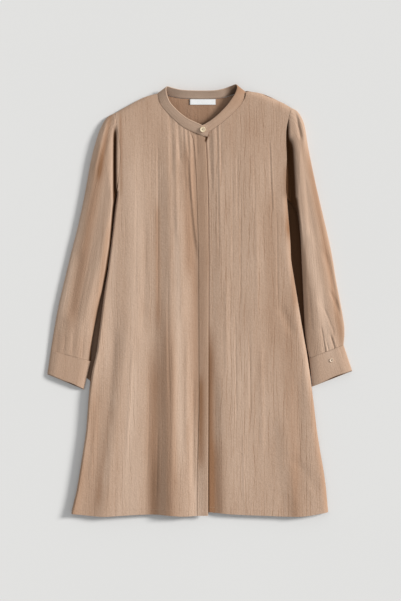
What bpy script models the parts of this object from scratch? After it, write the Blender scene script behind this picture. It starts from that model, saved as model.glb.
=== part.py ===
"""Long tunic shirt with a stand band and a covered button front, laid flat on its back.

Metres, +Z up, +X to the wearer's left, +Y towards the neck. The origin is in the middle of the
garment's outline, on the surface that it lies on. The tables are in millimetres, with y as the
height above the lowest point of the hem.
"""
import math
from collections import namedtuple

import bmesh
import bpy
import numpy as np
from mathutils import Vector

MM = 0.001

# ---- driving dimensions (mm) ---------------------------------------------------------------
LENGTH = 957.0            # lowest point of the hem to the top of the band
CLOTH = 1.5               # wall of one layer of body or sleeve cloth
PRESSED = 2.0             # wall of the pressed double pieces: band, placket and cuffs
SEAM = 0.3                # clear distance between two pieces
LOFT = 12.0               # height of the fronts over the surface, away from their edges
EDGE_ROUND = 24.0         # how far in from a sleeve's side the cloth reaches its full height
BODY_ROUND = 15.0         # the same, for the sides and shoulders of the fronts
CUFF_LOFT = 10.0          # height of the flattened cuffs
SIDE_SHARE = 0.40         # height of a tube's widest line, as a share of its full height
SIDE_TUCK = 3.0           # how far the flat underside of a tube starts in from its side
BASE_COLUMNS = 7          # points across the flat underside of a tube

BACK_TOP = CLOTH                       # upper face of the back panel
RIM = BACK_TOP + SEAM + CLOTH          # height of the fronts at the side and shoulder seams
LAP = PRESSED + SEAM                   # how far the left front lies under the placket
LAP_EASE = 30.0                        # how far beyond the placket the left front comes level again

# ---- outlines (mm) -------------------------------------------------------------------------
Point = namedtuple("Point", "x y")

SIDE_RIGHT = [Point(-285, 6), Point(-273, 57), Point(-262, 124), Point(-252, 190), Point(-246, 268),
              Point(-238, 324), Point(-228, 368), Point(-214, 479), Point(-204, 546),
              Point(-197, 602), Point(-188, 679), Point(-183, 716)]
ARMHOLE_RIGHT = [Point(-183, 716), Point(-180, 739), Point(-176.5, 780), Point(-176, 813),
                 Point(-179, 839), Point(-183, 866), Point(-187, 895)]
SHOULDER_RIGHT = [Point(-187, 895), Point(-155, 913), Point(-121, 930), Point(-94, 939)]

SIDE_LEFT = [Point(285, 9), Point(278, 79), Point(267, 146), Point(260, 190), Point(252, 257),
             Point(240, 346), Point(225, 435), Point(210, 524), Point(203, 568), Point(201, 613),
             Point(194, 702)]
ARMHOLE_LEFT = [Point(194, 702), Point(191, 724), Point(191.5, 760), Point(192.5, 795),
                Point(191, 835), Point(193, 864), Point(203, 906)]
SHOULDER_LEFT = [Point(203, 906), Point(178, 919.5), Point(134, 938), Point(104, 947)]

HEM_RIGHT = [Point(-285, 6), Point(-222, 0), Point(-177, 1.5), Point(-133, 4), Point(-88, 4),
             Point(-40, 0.5), Point(-6, 1.5)]
HEM_LEFT = [Point(-1, 9), Point(21, 9), Point(67, 5), Point(134, 2), Point(223, 0), Point(285, 9)]
BACK_HEM_RISE = 4.0       # the back's hem lies this much above the fronts' hem, out of sight

# The neck opening: the band's sewn edge and its free edge, once round, from the upper end at the
# centre front over the right shoulder, the back and the left shoulder to the lower end.
Band = namedtuple("Band", "seam_x seam_y seam_z top_x top_y top_z")
BAND = [
    Band(19, 836.5, 11.2, 19, 865, 16.0),
    Band(8, 842, 11.2, 6, 866, 16.0),
    Band(-5, 847.5, 11.2, -3, 870, 16.0),
    Band(-22, 854, 11.2, -13, 874.5, 16.0),
    Band(-36, 861, 11.2, -25, 880, 16.0),
    Band(-51, 873, 11.2, -38, 889, 16.0),
    Band(-64, 885, 11.2, -49, 898.5, 16.0),
    Band(-75, 897, 11.0, -58, 907.5, 16.0),
    Band(-86, 911, 10.5, -66, 918, 16.0),
    Band(-92, 926, 8.5, -71.5, 931, 16.0),
    Band(-93, 937, 5.5, -74, 946, 15.8),
    Band(-85, 938.5, 2.6, -71, 951.5, 15.5),
    Band(-71, 934.5, 1.3, -60, 948.5, 15.0),
    Band(-45, 928.5, 1.1, -42, 944.5, 14.5),
    Band(-20, 927, 1.1, -20, 943, 14.0),
    Band(5, 926.5, 1.1, 5, 942.5, 14.0),
    Band(34, 927, 1.1, 33, 943, 14.5),
    Band(58, 930.5, 1.1, 52, 946.5, 15.0),
    Band(80, 938, 1.3, 68, 952, 15.5),
    Band(94, 942, 2.6, 80, 956, 15.5),
    Band(102, 940, 5.5, 82, 948, 15.8),
    Band(100.5, 930, 8.5, 78, 936, 16.0),
    Band(94, 916.5, 10.5, 71.5, 925.5, 16.0),
    Band(81, 900, 11.0, 61.5, 911.5, 16.0),
    Band(67, 887, 10.8, 51.5, 900.5, 15.6),
    Band(54, 875.5, 10.4, 41, 890, 15.2),
    Band(39, 864, 9.6, 27.5, 879, 14.2),
    Band(22, 852.5, 8.6, 14, 870.5, 12.6),
    Band(1, 844, 8.4, 1, 864, 12.2),
]
BACK_NECK_GAP = 1.2       # from the middle of the standing band's sewn edge to the back panel
FRONT_NECK_GAP = 0.5      # from the middle of the lying band's sewn edge to a front
SHOULDER_NECK_GAPS = (0.6, 0.9, 1.4, 1.9)       # the same, where the band stands up at a shoulder
BAND_CROWN = 0.5          # the band's middle stands this much proud of its edges
LAST_FRONT_RIGHT = 10     # row where the band turns at the right shoulder
FIRST_FRONT_LEFT = 20     # row where it turns at the left shoulder
BUTTON_SHARE = 0.62       # the neck button's place across the band, from the sewn edge

# The placket: its stitched line and its free edge, down the centre front.
Strip = namedtuple("Strip", "y stitch free")
PLACKET_TOP, PLACKET_TOP_FREE = 853.4, 839.3    # its upper end, at the stitching and the free edge
FRONT_LEFT_CORNER = Point(1, 843.4)             # upper end of the left front's centre edge
PLACKET = [Strip(855, -22, 12), Strip(835, -15, 12), Strip(813, -12, 14), Strip(746, -8, 17),
           Strip(657, -5, 19), Strip(568, -3, 19.5), Strip(235, -2, 19), Strip(90, -6, 18.5),
           Strip(2, -6, 18.5)]

SLEEVE_OUTER_RIGHT = [Point(-187.6, 894.7), Point(-207, 882.5), Point(-220.5, 859), Point(-229.5, 833),
                      Point(-241, 790), Point(-253, 724), Point(-262, 679), Point(-272, 635),
                      Point(-283, 592), Point(-305, 502), Point(-315, 457), Point(-323, 413),
                      Point(-330.5, 368)]
SLEEVE_INNER_RIGHT = [Point(-183.6, 715.4), Point(-191, 690), Point(-195, 640), Point(-199, 595),
                      Point(-206, 546), Point(-216, 502), Point(-235, 413), Point(-240, 379),
                      Point(-242, 344)]
CUFF_CORNERS_RIGHT = [Point(-338, 316), Point(-257, 282)]
SLEEVE_OUTER_LEFT = [Point(203.6, 905.6), Point(218.5, 895.5), Point(231.5, 869), Point(241, 815),
                     Point(255, 746), Point(265, 702), Point(286, 613), Point(295, 568),
                     Point(302, 524), Point(318, 439), Point(321, 408), Point(319, 380)]
SLEEVE_INNER_LEFT = [Point(194.6, 701.3), Point(207, 690), Point(217, 667), Point(223, 624),
                     Point(227, 546), Point(230, 479), Point(232, 426), Point(236, 386),
                     Point(243, 351)]
CUFF_CORNERS_LEFT = [Point(338, 323), Point(250, 288.5)]

# Heights of the sleeves along their length: share of the way from armhole to cuff, height (mm).
Rise = namedtuple("Rise", "share height")
SLEEVE_RISE = [Rise(0.0, 12.0), Rise(0.12, 15.0), Rise(0.45, 15.5), Rise(0.85, 14.0),
               Rise(1.0, 10.5)]

# ---- folds (mm) ----------------------------------------------------------------------------
# A fold runs from its start to its end, bowed to the side at its middle. With no run-out it is a
# rounded ridge, or a trough where its height is below zero. With a run-out the cloth steps up
# across it, towards +X, or towards -X where the run-out is below zero, and eases down again.
Fold = namedtuple("Fold", "x0 y0 x1 y1 bow width height run_out")
FOLDS_RIGHT = [
    Fold(-86, 900, -80, -160, 9, 13, 3.4, 55),      # long front fold from the band to the hem
    Fold(-93, 540, -86, -230, 4, 15, 3.6, 50),      # the same fold, deeper towards the hem
    Fold(-168, 500, -240, -90, 4, 14, 3.8, 50),     # soft fold towards the side of the hem
    Fold(-38, 868, -4, 560, -3, 8, 1.8, 40),        # slanted fold from the band to the placket
    Fold(-150, 860, -150, 300, 0, 22, 1.2, 0),      # soft roll under the shoulder
    # gathers under the band
    Fold(-66, 900, -64, 770, 0, 4.2, -2.2, 0),
    Fold(-48, 885, -44, 800, 0, 3.8, -1.9, 0),
    Fold(-38, 875, -33, 790, 0, 3.4, -1.8, 0),
    Fold(-29, 868, -24, 795, 0, 3.2, -1.8, 0),
    Fold(-19, 864, -14, 775, 0, 3.2, -1.6, 0),
    Fold(-8, 860, -5, 800, 0, 3.2, -1.2, 0),
]
FOLDS_LEFT = [
    Fold(33, 340, 36, -80, 0, 12, -2.6, 0),         # hollow beside the placket, down to the hem
    Fold(172, 240, 215, -60, -6, 16, 2.2, 45),      # soft fold towards the side of the hem
    Fold(176, 470, 208, 400, 0, 9, -1.4, 0),        # slanted crease above the hip
    Fold(190, 130, 262, 60, 6, 8, -1.6, 0),         # slanted crease near the hem
    Fold(110, 880, 120, 250, 6, 26, 1.2, 0),        # soft roll under the shoulder
    # gathers under the band
    Fold(20, 866, 26, 780, 0, 3.4, -1.8, 0),
    Fold(35, 876, 39, 780, 0, 3.6, -2.0, 0),
    Fold(47, 884, 49, 770, 0, 3.8, -2.0, 0),
]
SLEEVE_FOLDS_RIGHT = [
    Fold(-187.5, 875, -187.5, 660, -1, 3.6, -8.0, 0),  # cloth tucked in beside the armhole
    Fold(-193, 905, -214, 800, 0, 5, -2.4, 0),      # pleat at the sleeve head
    Fold(-200, 850, -196, 700, -3, 6, 1.6, 0),      # ridge beside it
    Fold(-200, 760, -276, 400, 6, 12, 2.8, 40),     # long slanted fold from the underarm
    Fold(-262, 600, -290, 430, 0, 10, -1.8, 0),
    Fold(-255, 420, -262, 345, 0, 5, -2.0, 0),      # gathers above the cuff
    Fold(-276, 410, -281, 350, 0, 4.5, -2.0, 0),
    Fold(-297, 425, -303, 355, 0, 5, -2.0, 0),
    Fold(-315, 400, -319, 360, 0, 4, -1.6, 0),
]
SLEEVE_FOLDS_LEFT = [
    Fold(220, 885, 284, 380, -9, 9, 3.0, -40),      # long ridge down the arm
    Fold(210, 905, 226, 830, 0, 5, -2.2, 0),        # pleat at the sleeve head
    Fold(194, 905, 208, 640, 2, 7, -8.5, 0),        # cloth tucked in beside the armhole
    Fold(271, 600, 309, 440, 5, 7, -2.6, 0),        # slanted crease over the elbow
    Fold(236, 640, 262, 470, 4, 8, 2.0, 30),
    Fold(269, 420, 277, 372, 0, 4.5, -2.4, 0),      # gathers above the cuff
    Fold(287, 410, 297, 360, 0, 5, -2.8, 0),
    Fold(255, 405, 259, 355, 0, 4, -1.8, 0),
    Fold(306, 415, 309, 378, 0, 4, -1.6, 0),
]

# ---- buttons and label (mm) ----------------------------------------------------------------
NECK_BUTTON = 12.0
CUFF_BUTTON = 9.0
CUFF_BUTTON_PLACE = Point(292, 346)
BUTTON_THICK = 2.2
BUTTON_HOLE = 1.5
BUTTON_SIDES = 20
LABEL_WIDTH, LABEL_HEIGHT, LABEL_THICK = 58.0, 12.0, 1.0
LABEL_CENTRE = Point(6.5, 919.0)

# ---- colours -------------------------------------------------------------------------------
TAUPE = (0.49, 0.35, 0.25, 1.0)
CREAM = (0.76, 0.67, 0.52, 1.0)
WHITE = (0.86, 0.86, 0.84, 1.0)


# ---- curves, patches and heights -----------------------------------------------------------
def smooth(share):
    """Smooth step from 0 to 1."""
    t = np.clip(share, 0.0, 1.0)
    return t * t * (3.0 - 2.0 * t)


def curve(points, fine=14):
    """Smooth curve through the points, as a function of the share of its length."""
    rows = np.array([list(p) for p in points], float)
    before = np.vstack([2 * rows[0] - rows[1], rows[:-1]])
    after = np.vstack([rows[1:], 2 * rows[-1] - rows[-2]])
    tangent = (after - before) / 2.0
    t = np.linspace(0.0, 1.0, fine, endpoint=False)[:, None]
    samples = []
    for i in range(len(rows) - 1):
        samples.append((2 * t**3 - 3 * t**2 + 1) * rows[i] + (t**3 - 2 * t**2 + t) * tangent[i]
                       + (3 * t**2 - 2 * t**3) * rows[i + 1] + (t**3 - t**2) * tangent[i + 1])
    samples = np.vstack(samples + [rows[-1:]])
    length = np.concatenate([[0.0], np.cumsum(np.linalg.norm(np.diff(samples, axis=0), axis=1))])
    length /= length[-1]

    def at(share):
        share = np.asarray(share, float)
        return np.stack([np.interp(share, length, samples[:, k])
                         for k in range(samples.shape[1])], axis=-1)
    return at


def joined(first, second, share):
    """Two curves end to end, the first over the given share."""
    def at(t):
        t = np.asarray(t, float)
        near = first(np.clip(t / share, 0, 1))
        far = second(np.clip((t - share) / (1 - share), 0, 1))
        return np.where((t < share)[..., None], near, far)
    return at


def patch(start_side, end_side, top, bottom):
    """Surface between four edge curves: u runs from start to end, v from top to bottom."""
    def at(u, v):
        u, v = u[..., None], v[..., None]
        ruled = ((1 - u) * start_side(v[..., 0]) + u * end_side(v[..., 0])
                 + (1 - v) * top(u[..., 0]) + v * bottom(u[..., 0]))
        zero, one = np.zeros(1), np.ones(1)
        corners = ((1 - u) * (1 - v) * top(zero)[0] + u * (1 - v) * top(one)[0]
                   + (1 - u) * v * bottom(zero)[0] + u * v * bottom(one)[0])
        return ruled - corners
    return at


def distance_to(path_points, x, y):
    """Distance from each place to a run of straight lines."""
    best = np.full(np.shape(x), 1e9)
    for a, b in zip(path_points[:-1], path_points[1:]):
        dx, dy = b[0] - a[0], b[1] - a[1]
        t = np.clip(((x - a[0]) * dx + (y - a[1]) * dy) / (dx * dx + dy * dy), 0, 1)
        best = np.minimum(best, np.hypot(x - a[0] - t * dx, y - a[1] - t * dy))
    return best


def fold_lift(folds, x, y):
    """How far the folds lift the cloth at each place."""
    lift = np.zeros(np.shape(x))
    for f in folds:
        dx, dy = f.x1 - f.x0, f.y1 - f.y0
        length = math.hypot(dx, dy)
        along = ((x - f.x0) * dx + (y - f.y0) * dy) / length**2
        aside = (-(x - f.x0) * dy + (y - f.y0) * dx) / length
        inside = np.clip(along, 0, 1)
        aside = aside - f.bow * 4 * inside * (1 - inside)
        fade = smooth(along / 0.2) * smooth((1 - along) / 0.2)
        if f.run_out == 0:
            shape = np.exp(-(aside / f.width) ** 2)
        else:
            across = aside * math.copysign(1, f.run_out)
            shape = (smooth(across / (2 * f.width) + 0.5)
                     * np.exp(-np.clip(across - f.width, 0, None) / abs(f.run_out)))
        lift = lift + f.height * fade * shape
    return lift


def round_up(share):
    """Quarter of a circle, from 0 at the edge to 1."""
    t = 1 - np.clip(share, 0.0, 1.0)
    return np.sqrt(np.clip(1 - t * t, 0.0, 1.0))


def slope_of(height, x, y, step=0.5):
    """Steepness of a height function."""
    run_x = (height(x + step, y) - height(x - step, y)) / (2 * step)
    run_y = (height(x, y + step) - height(x, y - step)) / (2 * step)
    return np.hypot(run_x, run_y)


# ---- meshes --------------------------------------------------------------------------------
def material(name, colour, roughness):
    made = bpy.data.materials.new(name)
    made.use_nodes = True
    shader = made.node_tree.nodes["Principled BSDF"]
    shader.inputs["Base Color"].default_value = colour
    shader.inputs["Roughness"].default_value = roughness
    shader.inputs["Metallic"].default_value = 0.0
    return made


def to_frame(points):
    """Table millimetres to metres in the part's frame."""
    return (np.asarray(points, float) - [0.0, LENGTH / 2, 0.0]) * MM


def finish(name, mesh_data, colour, roughness, angle=40):
    mesh = bpy.data.meshes.new(name)
    bmesh.ops.recalc_face_normals(mesh_data, faces=mesh_data.faces)
    mesh_data.to_mesh(mesh)
    mesh_data.free()
    mesh.materials.append(material(name, colour, roughness))
    mesh.shade_smooth()
    mesh.set_sharp_from_angle(angle=math.radians(angle))
    piece = bpy.data.objects.new(name, mesh)
    bpy.context.scene.collection.objects.link(piece)
    return piece


def slab(name, upper, lower, colour=TAUPE, roughness=0.85):
    """Closed sheet between two grids of places, upper and lower."""
    made = bmesh.new()
    rows, columns = upper.shape[:2]
    top = [[made.verts.new(p) for p in row] for row in to_frame(upper)]
    base = [[made.verts.new(p) for p in row] for row in to_frame(lower)]
    for i in range(rows - 1):
        for j in range(columns - 1):
            made.faces.new([top[i][j], top[i][j + 1], top[i + 1][j + 1], top[i + 1][j]])
            made.faces.new([base[i][j], base[i + 1][j], base[i + 1][j + 1], base[i][j + 1]])
    border = ([(0, j) for j in range(columns)] + [(i, columns - 1) for i in range(1, rows)]
              + [(rows - 1, j) for j in range(columns - 2, -1, -1)]
              + [(i, 0) for i in range(rows - 2, 0, -1)])
    for (a, b), (c, d) in zip(border, border[1:] + border[:1]):
        made.faces.new([top[a][b], base[a][b], base[c][d], top[c][d]])
    return finish(name, made, colour, roughness)


def tube(name, outer, inner, colour=TAUPE, roughness=0.85):
    """Closed wall between two stacks of rings, open at both ends."""
    made = bmesh.new()
    outside = [[made.verts.new(p) for p in ring] for ring in to_frame(outer)]
    inside = [[made.verts.new(p) for p in ring] for ring in to_frame(inner)]
    count = len(outside[0])
    for i in range(len(outside) - 1):
        for j in range(count):
            k = (j + 1) % count
            made.faces.new([outside[i][j], outside[i][k], outside[i + 1][k], outside[i + 1][j]])
            made.faces.new([inside[i][j], inside[i + 1][j], inside[i + 1][k], inside[i][k]])
    for i, flip in ((0, False), (len(outside) - 1, True)):
        for j in range(count):
            k = (j + 1) % count
            ends = [outside[i][j], inside[i][j], inside[i][k], outside[i][k]]
            made.faces.new(ends[::-1] if flip else ends)
    return finish(name, made, colour, roughness)


def spread(*stretches):
    """Shares from 0 on, made of stretches given as (end, number of steps)."""
    shares, start = [0.0], 0.0
    for end, steps in stretches:
        shares += list(np.linspace(start, end, steps + 1)[1:])
        start = end
    return np.array(shares)


# ---- body ----------------------------------------------------------------------------------
def neck_seam(rows, gaps):
    """The fronts' neck edge: the band's sewn edge moved away from the neck by the gaps."""
    line = [Point(r.seam_x, r.seam_y) for r in rows]
    moved = []
    for i, p in enumerate(line):
        a, b = line[max(i - 1, 0)], line[min(i + 1, len(line) - 1)]
        length = math.hypot(b.x - a.x, b.y - a.y)
        out_x, out_y = (b.y - a.y) / length, -(b.x - a.x) / length
        if out_y > 0:
            out_x, out_y = -out_x, -out_y
        moved.append(Point(p.x + gaps[i] * out_x, p.y + gaps[i] * out_y))
    return moved


def front_panel(name, side, armhole, shoulder, neck, centre, hem, height, columns, rows):
    """One front, from its side and armhole to its centre edge."""
    outside = joined(curve(armhole[::-1]), curve(side[::-1]), 0.20)
    shoulder_share = 0.45
    top = joined(curve(shoulder), curve(neck), shoulder_share)
    surface = patch(outside, centre, top, curve(hem))
    u, v = np.meshgrid(columns, rows)
    places = surface(u, v)
    x, y = places[..., 0], places[..., 1]
    upper = height(x, y)
    wall = CLOTH * np.sqrt(1 + slope_of(height, x, y) ** 2)
    lower = np.maximum(upper - wall, BACK_TOP + SEAM)
    slab(name, np.dstack([x, y, upper]), np.dstack([x, y, lower]))


def placket_x(key, y):
    """Stitched or free edge of the placket at a height."""
    table = sorted(PLACKET)
    return np.interp(y, [r.y for r in table], [getattr(r, key) for r in table])


def stitched_edge(start, end):
    """The right front's centre edge, from the neck to the hem."""
    def at(share):
        y = start + (end - start) * np.asarray(share, float)
        return np.stack([placket_x("stitch", y), y], axis=-1)
    return at


# Only side and shoulder bring the fronts down to the back: the armhole is no free edge.
RIGHT_FREE = (SIDE_RIGHT, SHOULDER_RIGHT)
LEFT_FREE = (SIDE_LEFT, SHOULDER_LEFT)


def body_height(free_edges, folds, x, y):
    """Outer height of a front, low only along its side and its shoulder."""
    far = np.minimum(distance_to(free_edges[0], x, y), distance_to(free_edges[1], x, y))
    return (RIM + (LOFT - RIM) * round_up(far / BODY_ROUND)
            + fold_lift(folds, x, y) * smooth(far / EDGE_ROUND))


def right_height(x, y):
    return body_height(RIGHT_FREE, FOLDS_RIGHT, x, y)


def left_height(x, y):
    """The left front dips under the placket."""
    dip = LAP * (1 - smooth((x - placket_x("free", y) - 1.0) / LAP_EASE))
    return body_height(LEFT_FREE, FOLDS_LEFT, x, y) - dip


ROWS = spread((0.020, 2), (0.10, 4), (0.20, 3), (1.0, 12))


def make_front_right():
    rows = BAND[:LAST_FRONT_RIGHT + 1]
    gaps = [FRONT_NECK_GAP] * (len(rows) - len(SHOULDER_NECK_GAPS)) + list(SHOULDER_NECK_GAPS)
    neck = neck_seam(rows, gaps)[::-1]
    first = Point(float(placket_x("stitch", PLACKET_TOP)), PLACKET_TOP)
    neck = [p for p in neck if p.x < first.x - 3] + [first]
    centre = stitched_edge(PLACKET_TOP, HEM_RIGHT[-1].y)
    shoulder = SHOULDER_RIGHT[:-1] + [neck[0]]
    columns = spread((0.02, 2), (0.10, 2), (0.45, 6), (0.62, 5), (1.0, 17))
    front_panel("front_right", SIDE_RIGHT, ARMHOLE_RIGHT, shoulder, neck, centre, HEM_RIGHT,
                right_height, columns, ROWS)


def make_front_left():
    rows = BAND[FIRST_FRONT_LEFT:]
    gaps = list(SHOULDER_NECK_GAPS[::-1]) + [FRONT_NECK_GAP] * (len(rows) - len(SHOULDER_NECK_GAPS))
    neck = neck_seam(rows, gaps)[:-1] + [FRONT_LEFT_CORNER]
    centre = curve([FRONT_LEFT_CORNER, Point(FRONT_LEFT_CORNER.x, 400), HEM_LEFT[0]])
    shoulder = SHOULDER_LEFT[:-1] + [neck[0]]
    columns = spread((0.02, 2), (0.10, 2), (0.45, 6), (0.72, 5), (1.0, 12))
    front_panel("front_left", SIDE_LEFT, ARMHOLE_LEFT, shoulder, neck, centre, HEM_LEFT[::-1],
                left_height, columns, ROWS)


def make_placket():
    """Pressed strip over the centre front, in the same surface as the right front."""
    across, down = np.meshgrid([0.0, 0.33, 0.66, 1.0], ROWS)
    start = PLACKET_TOP + (PLACKET_TOP_FREE - PLACKET_TOP) * across
    end = HEM_RIGHT[-1].y + (PLACKET[-1].y - HEM_RIGHT[-1].y) * across
    y = start + (end - start) * down
    stitch = placket_x("stitch", y) + SEAM
    x = stitch + (placket_x("free", y) - stitch) * across
    z = right_height(x, y)
    slab("placket", np.dstack([x, y, z]), np.dstack([x, y, z - PRESSED]))


def make_back():
    """Flat back panel: its underside rests on the surface. Below the armholes it spreads to the
    sleeves, as the cloth of the side and underarm lies there."""
    shares = np.linspace(0.03, 0.92, 17)
    tuck = np.interp(shares, [0.03, 0.16, 0.24], [-SEAM, -SEAM, 0.0])
    under_right = [Point(x - t, y - SEAM) for (x, y), t in
                   zip(curve(SLEEVE_INNER_RIGHT)(shares), tuck)]
    under_left = [Point(x + t, y - SEAM) for (x, y), t in
                  zip(curve(SLEEVE_INNER_LEFT)(shares), tuck)]
    arm_shares = np.linspace(0, 1, 13)
    arm_right = [Point(x + SEAM, y) for x, y in curve(ARMHOLE_RIGHT)(arm_shares)]
    arm_left = [Point(x - SEAM, y) for x, y in curve(ARMHOLE_LEFT)(arm_shares)]
    body_right = [p for p in SIDE_RIGHT if p.y < under_right[-1].y - 20]
    body_left = [p for p in SIDE_LEFT if p.y < under_left[-1].y - 20]
    hem = [Point(p.x, p.y + BACK_HEM_RISE) for p in HEM_RIGHT[1:-1] + HEM_LEFT[1:-1]]
    neck = [Point(r.seam_x, r.seam_y - BACK_NECK_GAP)
            for r in BAND[LAST_FRONT_RIGHT + 2:FIRST_FRONT_LEFT - 1]]
    neck_right = Point(SHOULDER_RIGHT[-1].x - 1.5, SHOULDER_RIGHT[-1].y - 2)
    neck_left = Point(SHOULDER_LEFT[-1].x + 1.5, SHOULDER_LEFT[-1].y - 3)
    outline = ([Point(p.x, p.y + BACK_HEM_RISE) for p in body_right[:1]] + body_right[1:]
               + under_right[::-1] + arm_right + SHOULDER_RIGHT[1:-1] + [neck_right]
               + neck + [neck_left] + SHOULDER_LEFT[1:-1][::-1] + arm_left[::-1]
               + under_left + body_left[::-1][:-1]
               + [Point(p.x, p.y + BACK_HEM_RISE) for p in body_left[:1]] + hem[::-1])
    made = bmesh.new()
    low = [made.verts.new(p) for p in to_frame([(p.x, p.y, 0.0) for p in outline])]
    high = [made.verts.new(p) for p in to_frame([(p.x, p.y, CLOTH) for p in outline])]
    made.faces.new(low)
    made.faces.new(high[::-1])
    for i in range(len(outline)):
        k = (i + 1) % len(outline)
        made.faces.new([low[i], high[i], high[k], low[k]])
    bmesh.ops.triangulate(made, faces=made.faces)
    finish("back", made, TAUPE, 0.85)


# ---- sleeves and cuffs ---------------------------------------------------------------------
def tube_rings(surface, shares, rise, folds, wall, middle_columns):
    """Outer and inner rings of a flattened tube whose flat underside rests on the surface."""
    outer, inner = [], []
    for share in shares:
        ends = surface(np.array([0.0, 1.0]), np.array([share, share]))
        width = float(np.linalg.norm(ends[1] - ends[0]))
        side = np.array([0.0, 3.0, 8.0, 16.0]) / width
        across = np.concatenate([side, np.linspace(side[-1], 1 - side[-1], middle_columns + 2)[1:-1],
                                 1 - side[::-1]])
        places = surface(across, np.full(across.shape, share))
        full = rise(share)
        far = np.minimum(across, 1 - across) * width

        def height(x, y, far=far, full=full):
            low = full * SIDE_SHARE
            return (low + (full - low) * round_up(far / EDGE_ROUND)
                    + fold_lift(folds, x, y) * smooth(far / 12.0))
        x, y = places[:, 0], places[:, 1]
        z = np.maximum(height(x, y), 2 * wall + 1.2)
        thick = wall * np.sqrt(1 + slope_of(height, x, y) ** 2)
        under = np.maximum(z - thick, wall + 0.8)
        under[0] = under[-1] = z[0]
        step = (ends[1] - ends[0]) / width
        inside = places.copy()
        inside[0] += step * wall
        inside[-1] -= step * wall
        base = np.linspace(1 - SIDE_TUCK / width, SIDE_TUCK / width, BASE_COLUMNS)
        flat = surface(base, np.full(base.shape, share))
        flat_in = flat.copy()
        flat_in[0] -= step * 0.6
        flat_in[-1] += step * 0.6
        outer.append(np.vstack([np.column_stack([places, z]),
                                np.column_stack([flat, np.zeros(len(flat))])]))
        inner.append(np.vstack([np.column_stack([inside, under]),
                                np.column_stack([flat_in, np.full(len(flat), wall)])]))
    return np.array(outer), np.array(inner)


def sleeve_rise(share):
    return float(np.interp(share, [r.share for r in SLEEVE_RISE], [r.height for r in SLEEVE_RISE]))


def sleeve_surface(outer, inner, armhole, seam):
    """The sleeve between its outer and inner edges, from the armhole to the cuff."""
    head = [outer[0]] + [Point(p.x + seam, p.y) for p in armhole[::-1][1:-1]] + [inner[0]]
    wrist = [Point(outer[-1].x, outer[-1].y), Point(inner[-1].x, inner[-1].y)]
    return patch(curve(outer), curve(inner), curve(head), curve(wrist))


SLEEVE_SHARES = spread((0.012, 1), (0.030, 2), (0.12, 4), (0.80, 9), (1.0, 6))


def at_level(low, high, level):
    """Places on the way from the low to the high places at this height."""
    share = (level - low[:, 2]) / (high[:, 2] - low[:, 2])
    return low + (high - low) * share[:, None]


def make_sleeve(name, outer, inner, armhole, seam, folds):
    """Top sleeve, a hood of cloth, on the flat under sleeve that rests on the surface."""
    surface = sleeve_surface(outer, inner, armhole, seam)
    outside, inside = tube_rings(surface, SLEEVE_SHARES, sleeve_rise, folds, CLOTH, 7)
    flat = outside.shape[1] - BASE_COLUMNS
    hood = []
    for rings in (outside, inside):
        near = at_level(rings[:, -1], rings[:, 0], CLOTH + SEAM)
        far = at_level(rings[:, flat], rings[:, flat - 1], CLOTH + SEAM)
        hood.append(np.concatenate([near[:, None], rings[:, :flat], far[:, None]], axis=1))
    slab(name + "_top", *hood)
    base = outside[:, flat:]
    slab(name + "_under", base + [0.0, 0.0, CLOTH], base)


def make_cuff(name, outer, inner, corners):
    """Cuff from just below the sleeve's end to the wrist edge."""
    drop = SEAM + 0.1
    start = Point(outer[-1].x, outer[-1].y - drop), Point(inner[-1].x, inner[-1].y - drop)
    surface = patch(curve([start[0], corners[0]]), curve([start[1], corners[1]]),
                    curve(start), curve(corners))
    rings = tube_rings(surface, np.linspace(0, 1, 4), lambda share: CUFF_LOFT, [], PRESSED, 5)
    tube(name, *rings)


# ---- band ----------------------------------------------------------------------------------
def band_frame(count):
    """Sewn edge, free edge and outward direction of the band at places along it."""
    at = curve([tuple(r) for r in BAND])
    rows = at(np.linspace(0.0, 1.0, count))
    seam, top = rows[:, :3], rows[:, 3:]
    along = np.gradient((seam + top) / 2, axis=0)
    across = top - seam
    out = -np.cross(along, across)
    out /= np.linalg.norm(out, axis=1)[:, None]
    return seam, top, out


def make_band():
    """Stand band: a pressed strip on its way once round the neck."""
    seam, top, out = band_frame(66)
    half = PRESSED / 2
    made = bmesh.new()
    rings = []
    for s, t, n in zip(seam, top, out):
        middle = (s + t) / 2 + n * BAND_CROWN
        ring = [s + n * half, middle + n * half, t + n * half,
                t - n * half, middle - n * half, s - n * half]
        rings.append([made.verts.new(p) for p in to_frame(ring)])
    for a, b in zip(rings[:-1], rings[1:]):
        for j in range(6):
            k = (j + 1) % 6
            made.faces.new([a[j], a[k], b[k], b[j]])
    for ring in (rings[0], rings[-1]):
        made.faces.new([ring[0], ring[1], ring[4], ring[5]])
        made.faces.new([ring[1], ring[2], ring[3], ring[4]])
    finish("collar_band", made, TAUPE, 0.85)


# ---- buttons and label ---------------------------------------------------------------------
def button_blank(radius):
    """Turned button with a raised rim, its underside at zero."""
    profile = [(0.0, 0.0), (radius * 0.80, 0.0), (radius, BUTTON_THICK * 0.40),
               (radius, BUTTON_THICK * 0.70), (radius * 0.90, BUTTON_THICK),
               (radius * 0.74, BUTTON_THICK), (radius * 0.62, BUTTON_THICK * 0.72),
               (0.0, BUTTON_THICK * 0.72)]
    made = bmesh.new()
    rings = []
    for r, z in profile:
        count = BUTTON_SIDES if r else 1
        turn = 2 * math.pi / count
        rings.append([made.verts.new((r * MM * math.cos(turn * k), r * MM * math.sin(turn * k),
                                      z * MM)) for k in range(count)])
    for a, b in zip(rings[:-1], rings[1:]):
        for k in range(BUTTON_SIDES):
            m = k + 1
            corners = [a[k % len(a)], a[m % len(a)], b[m % len(b)], b[k % len(b)]]
            made.faces.new(list(dict.fromkeys(corners)))
    return made


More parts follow.
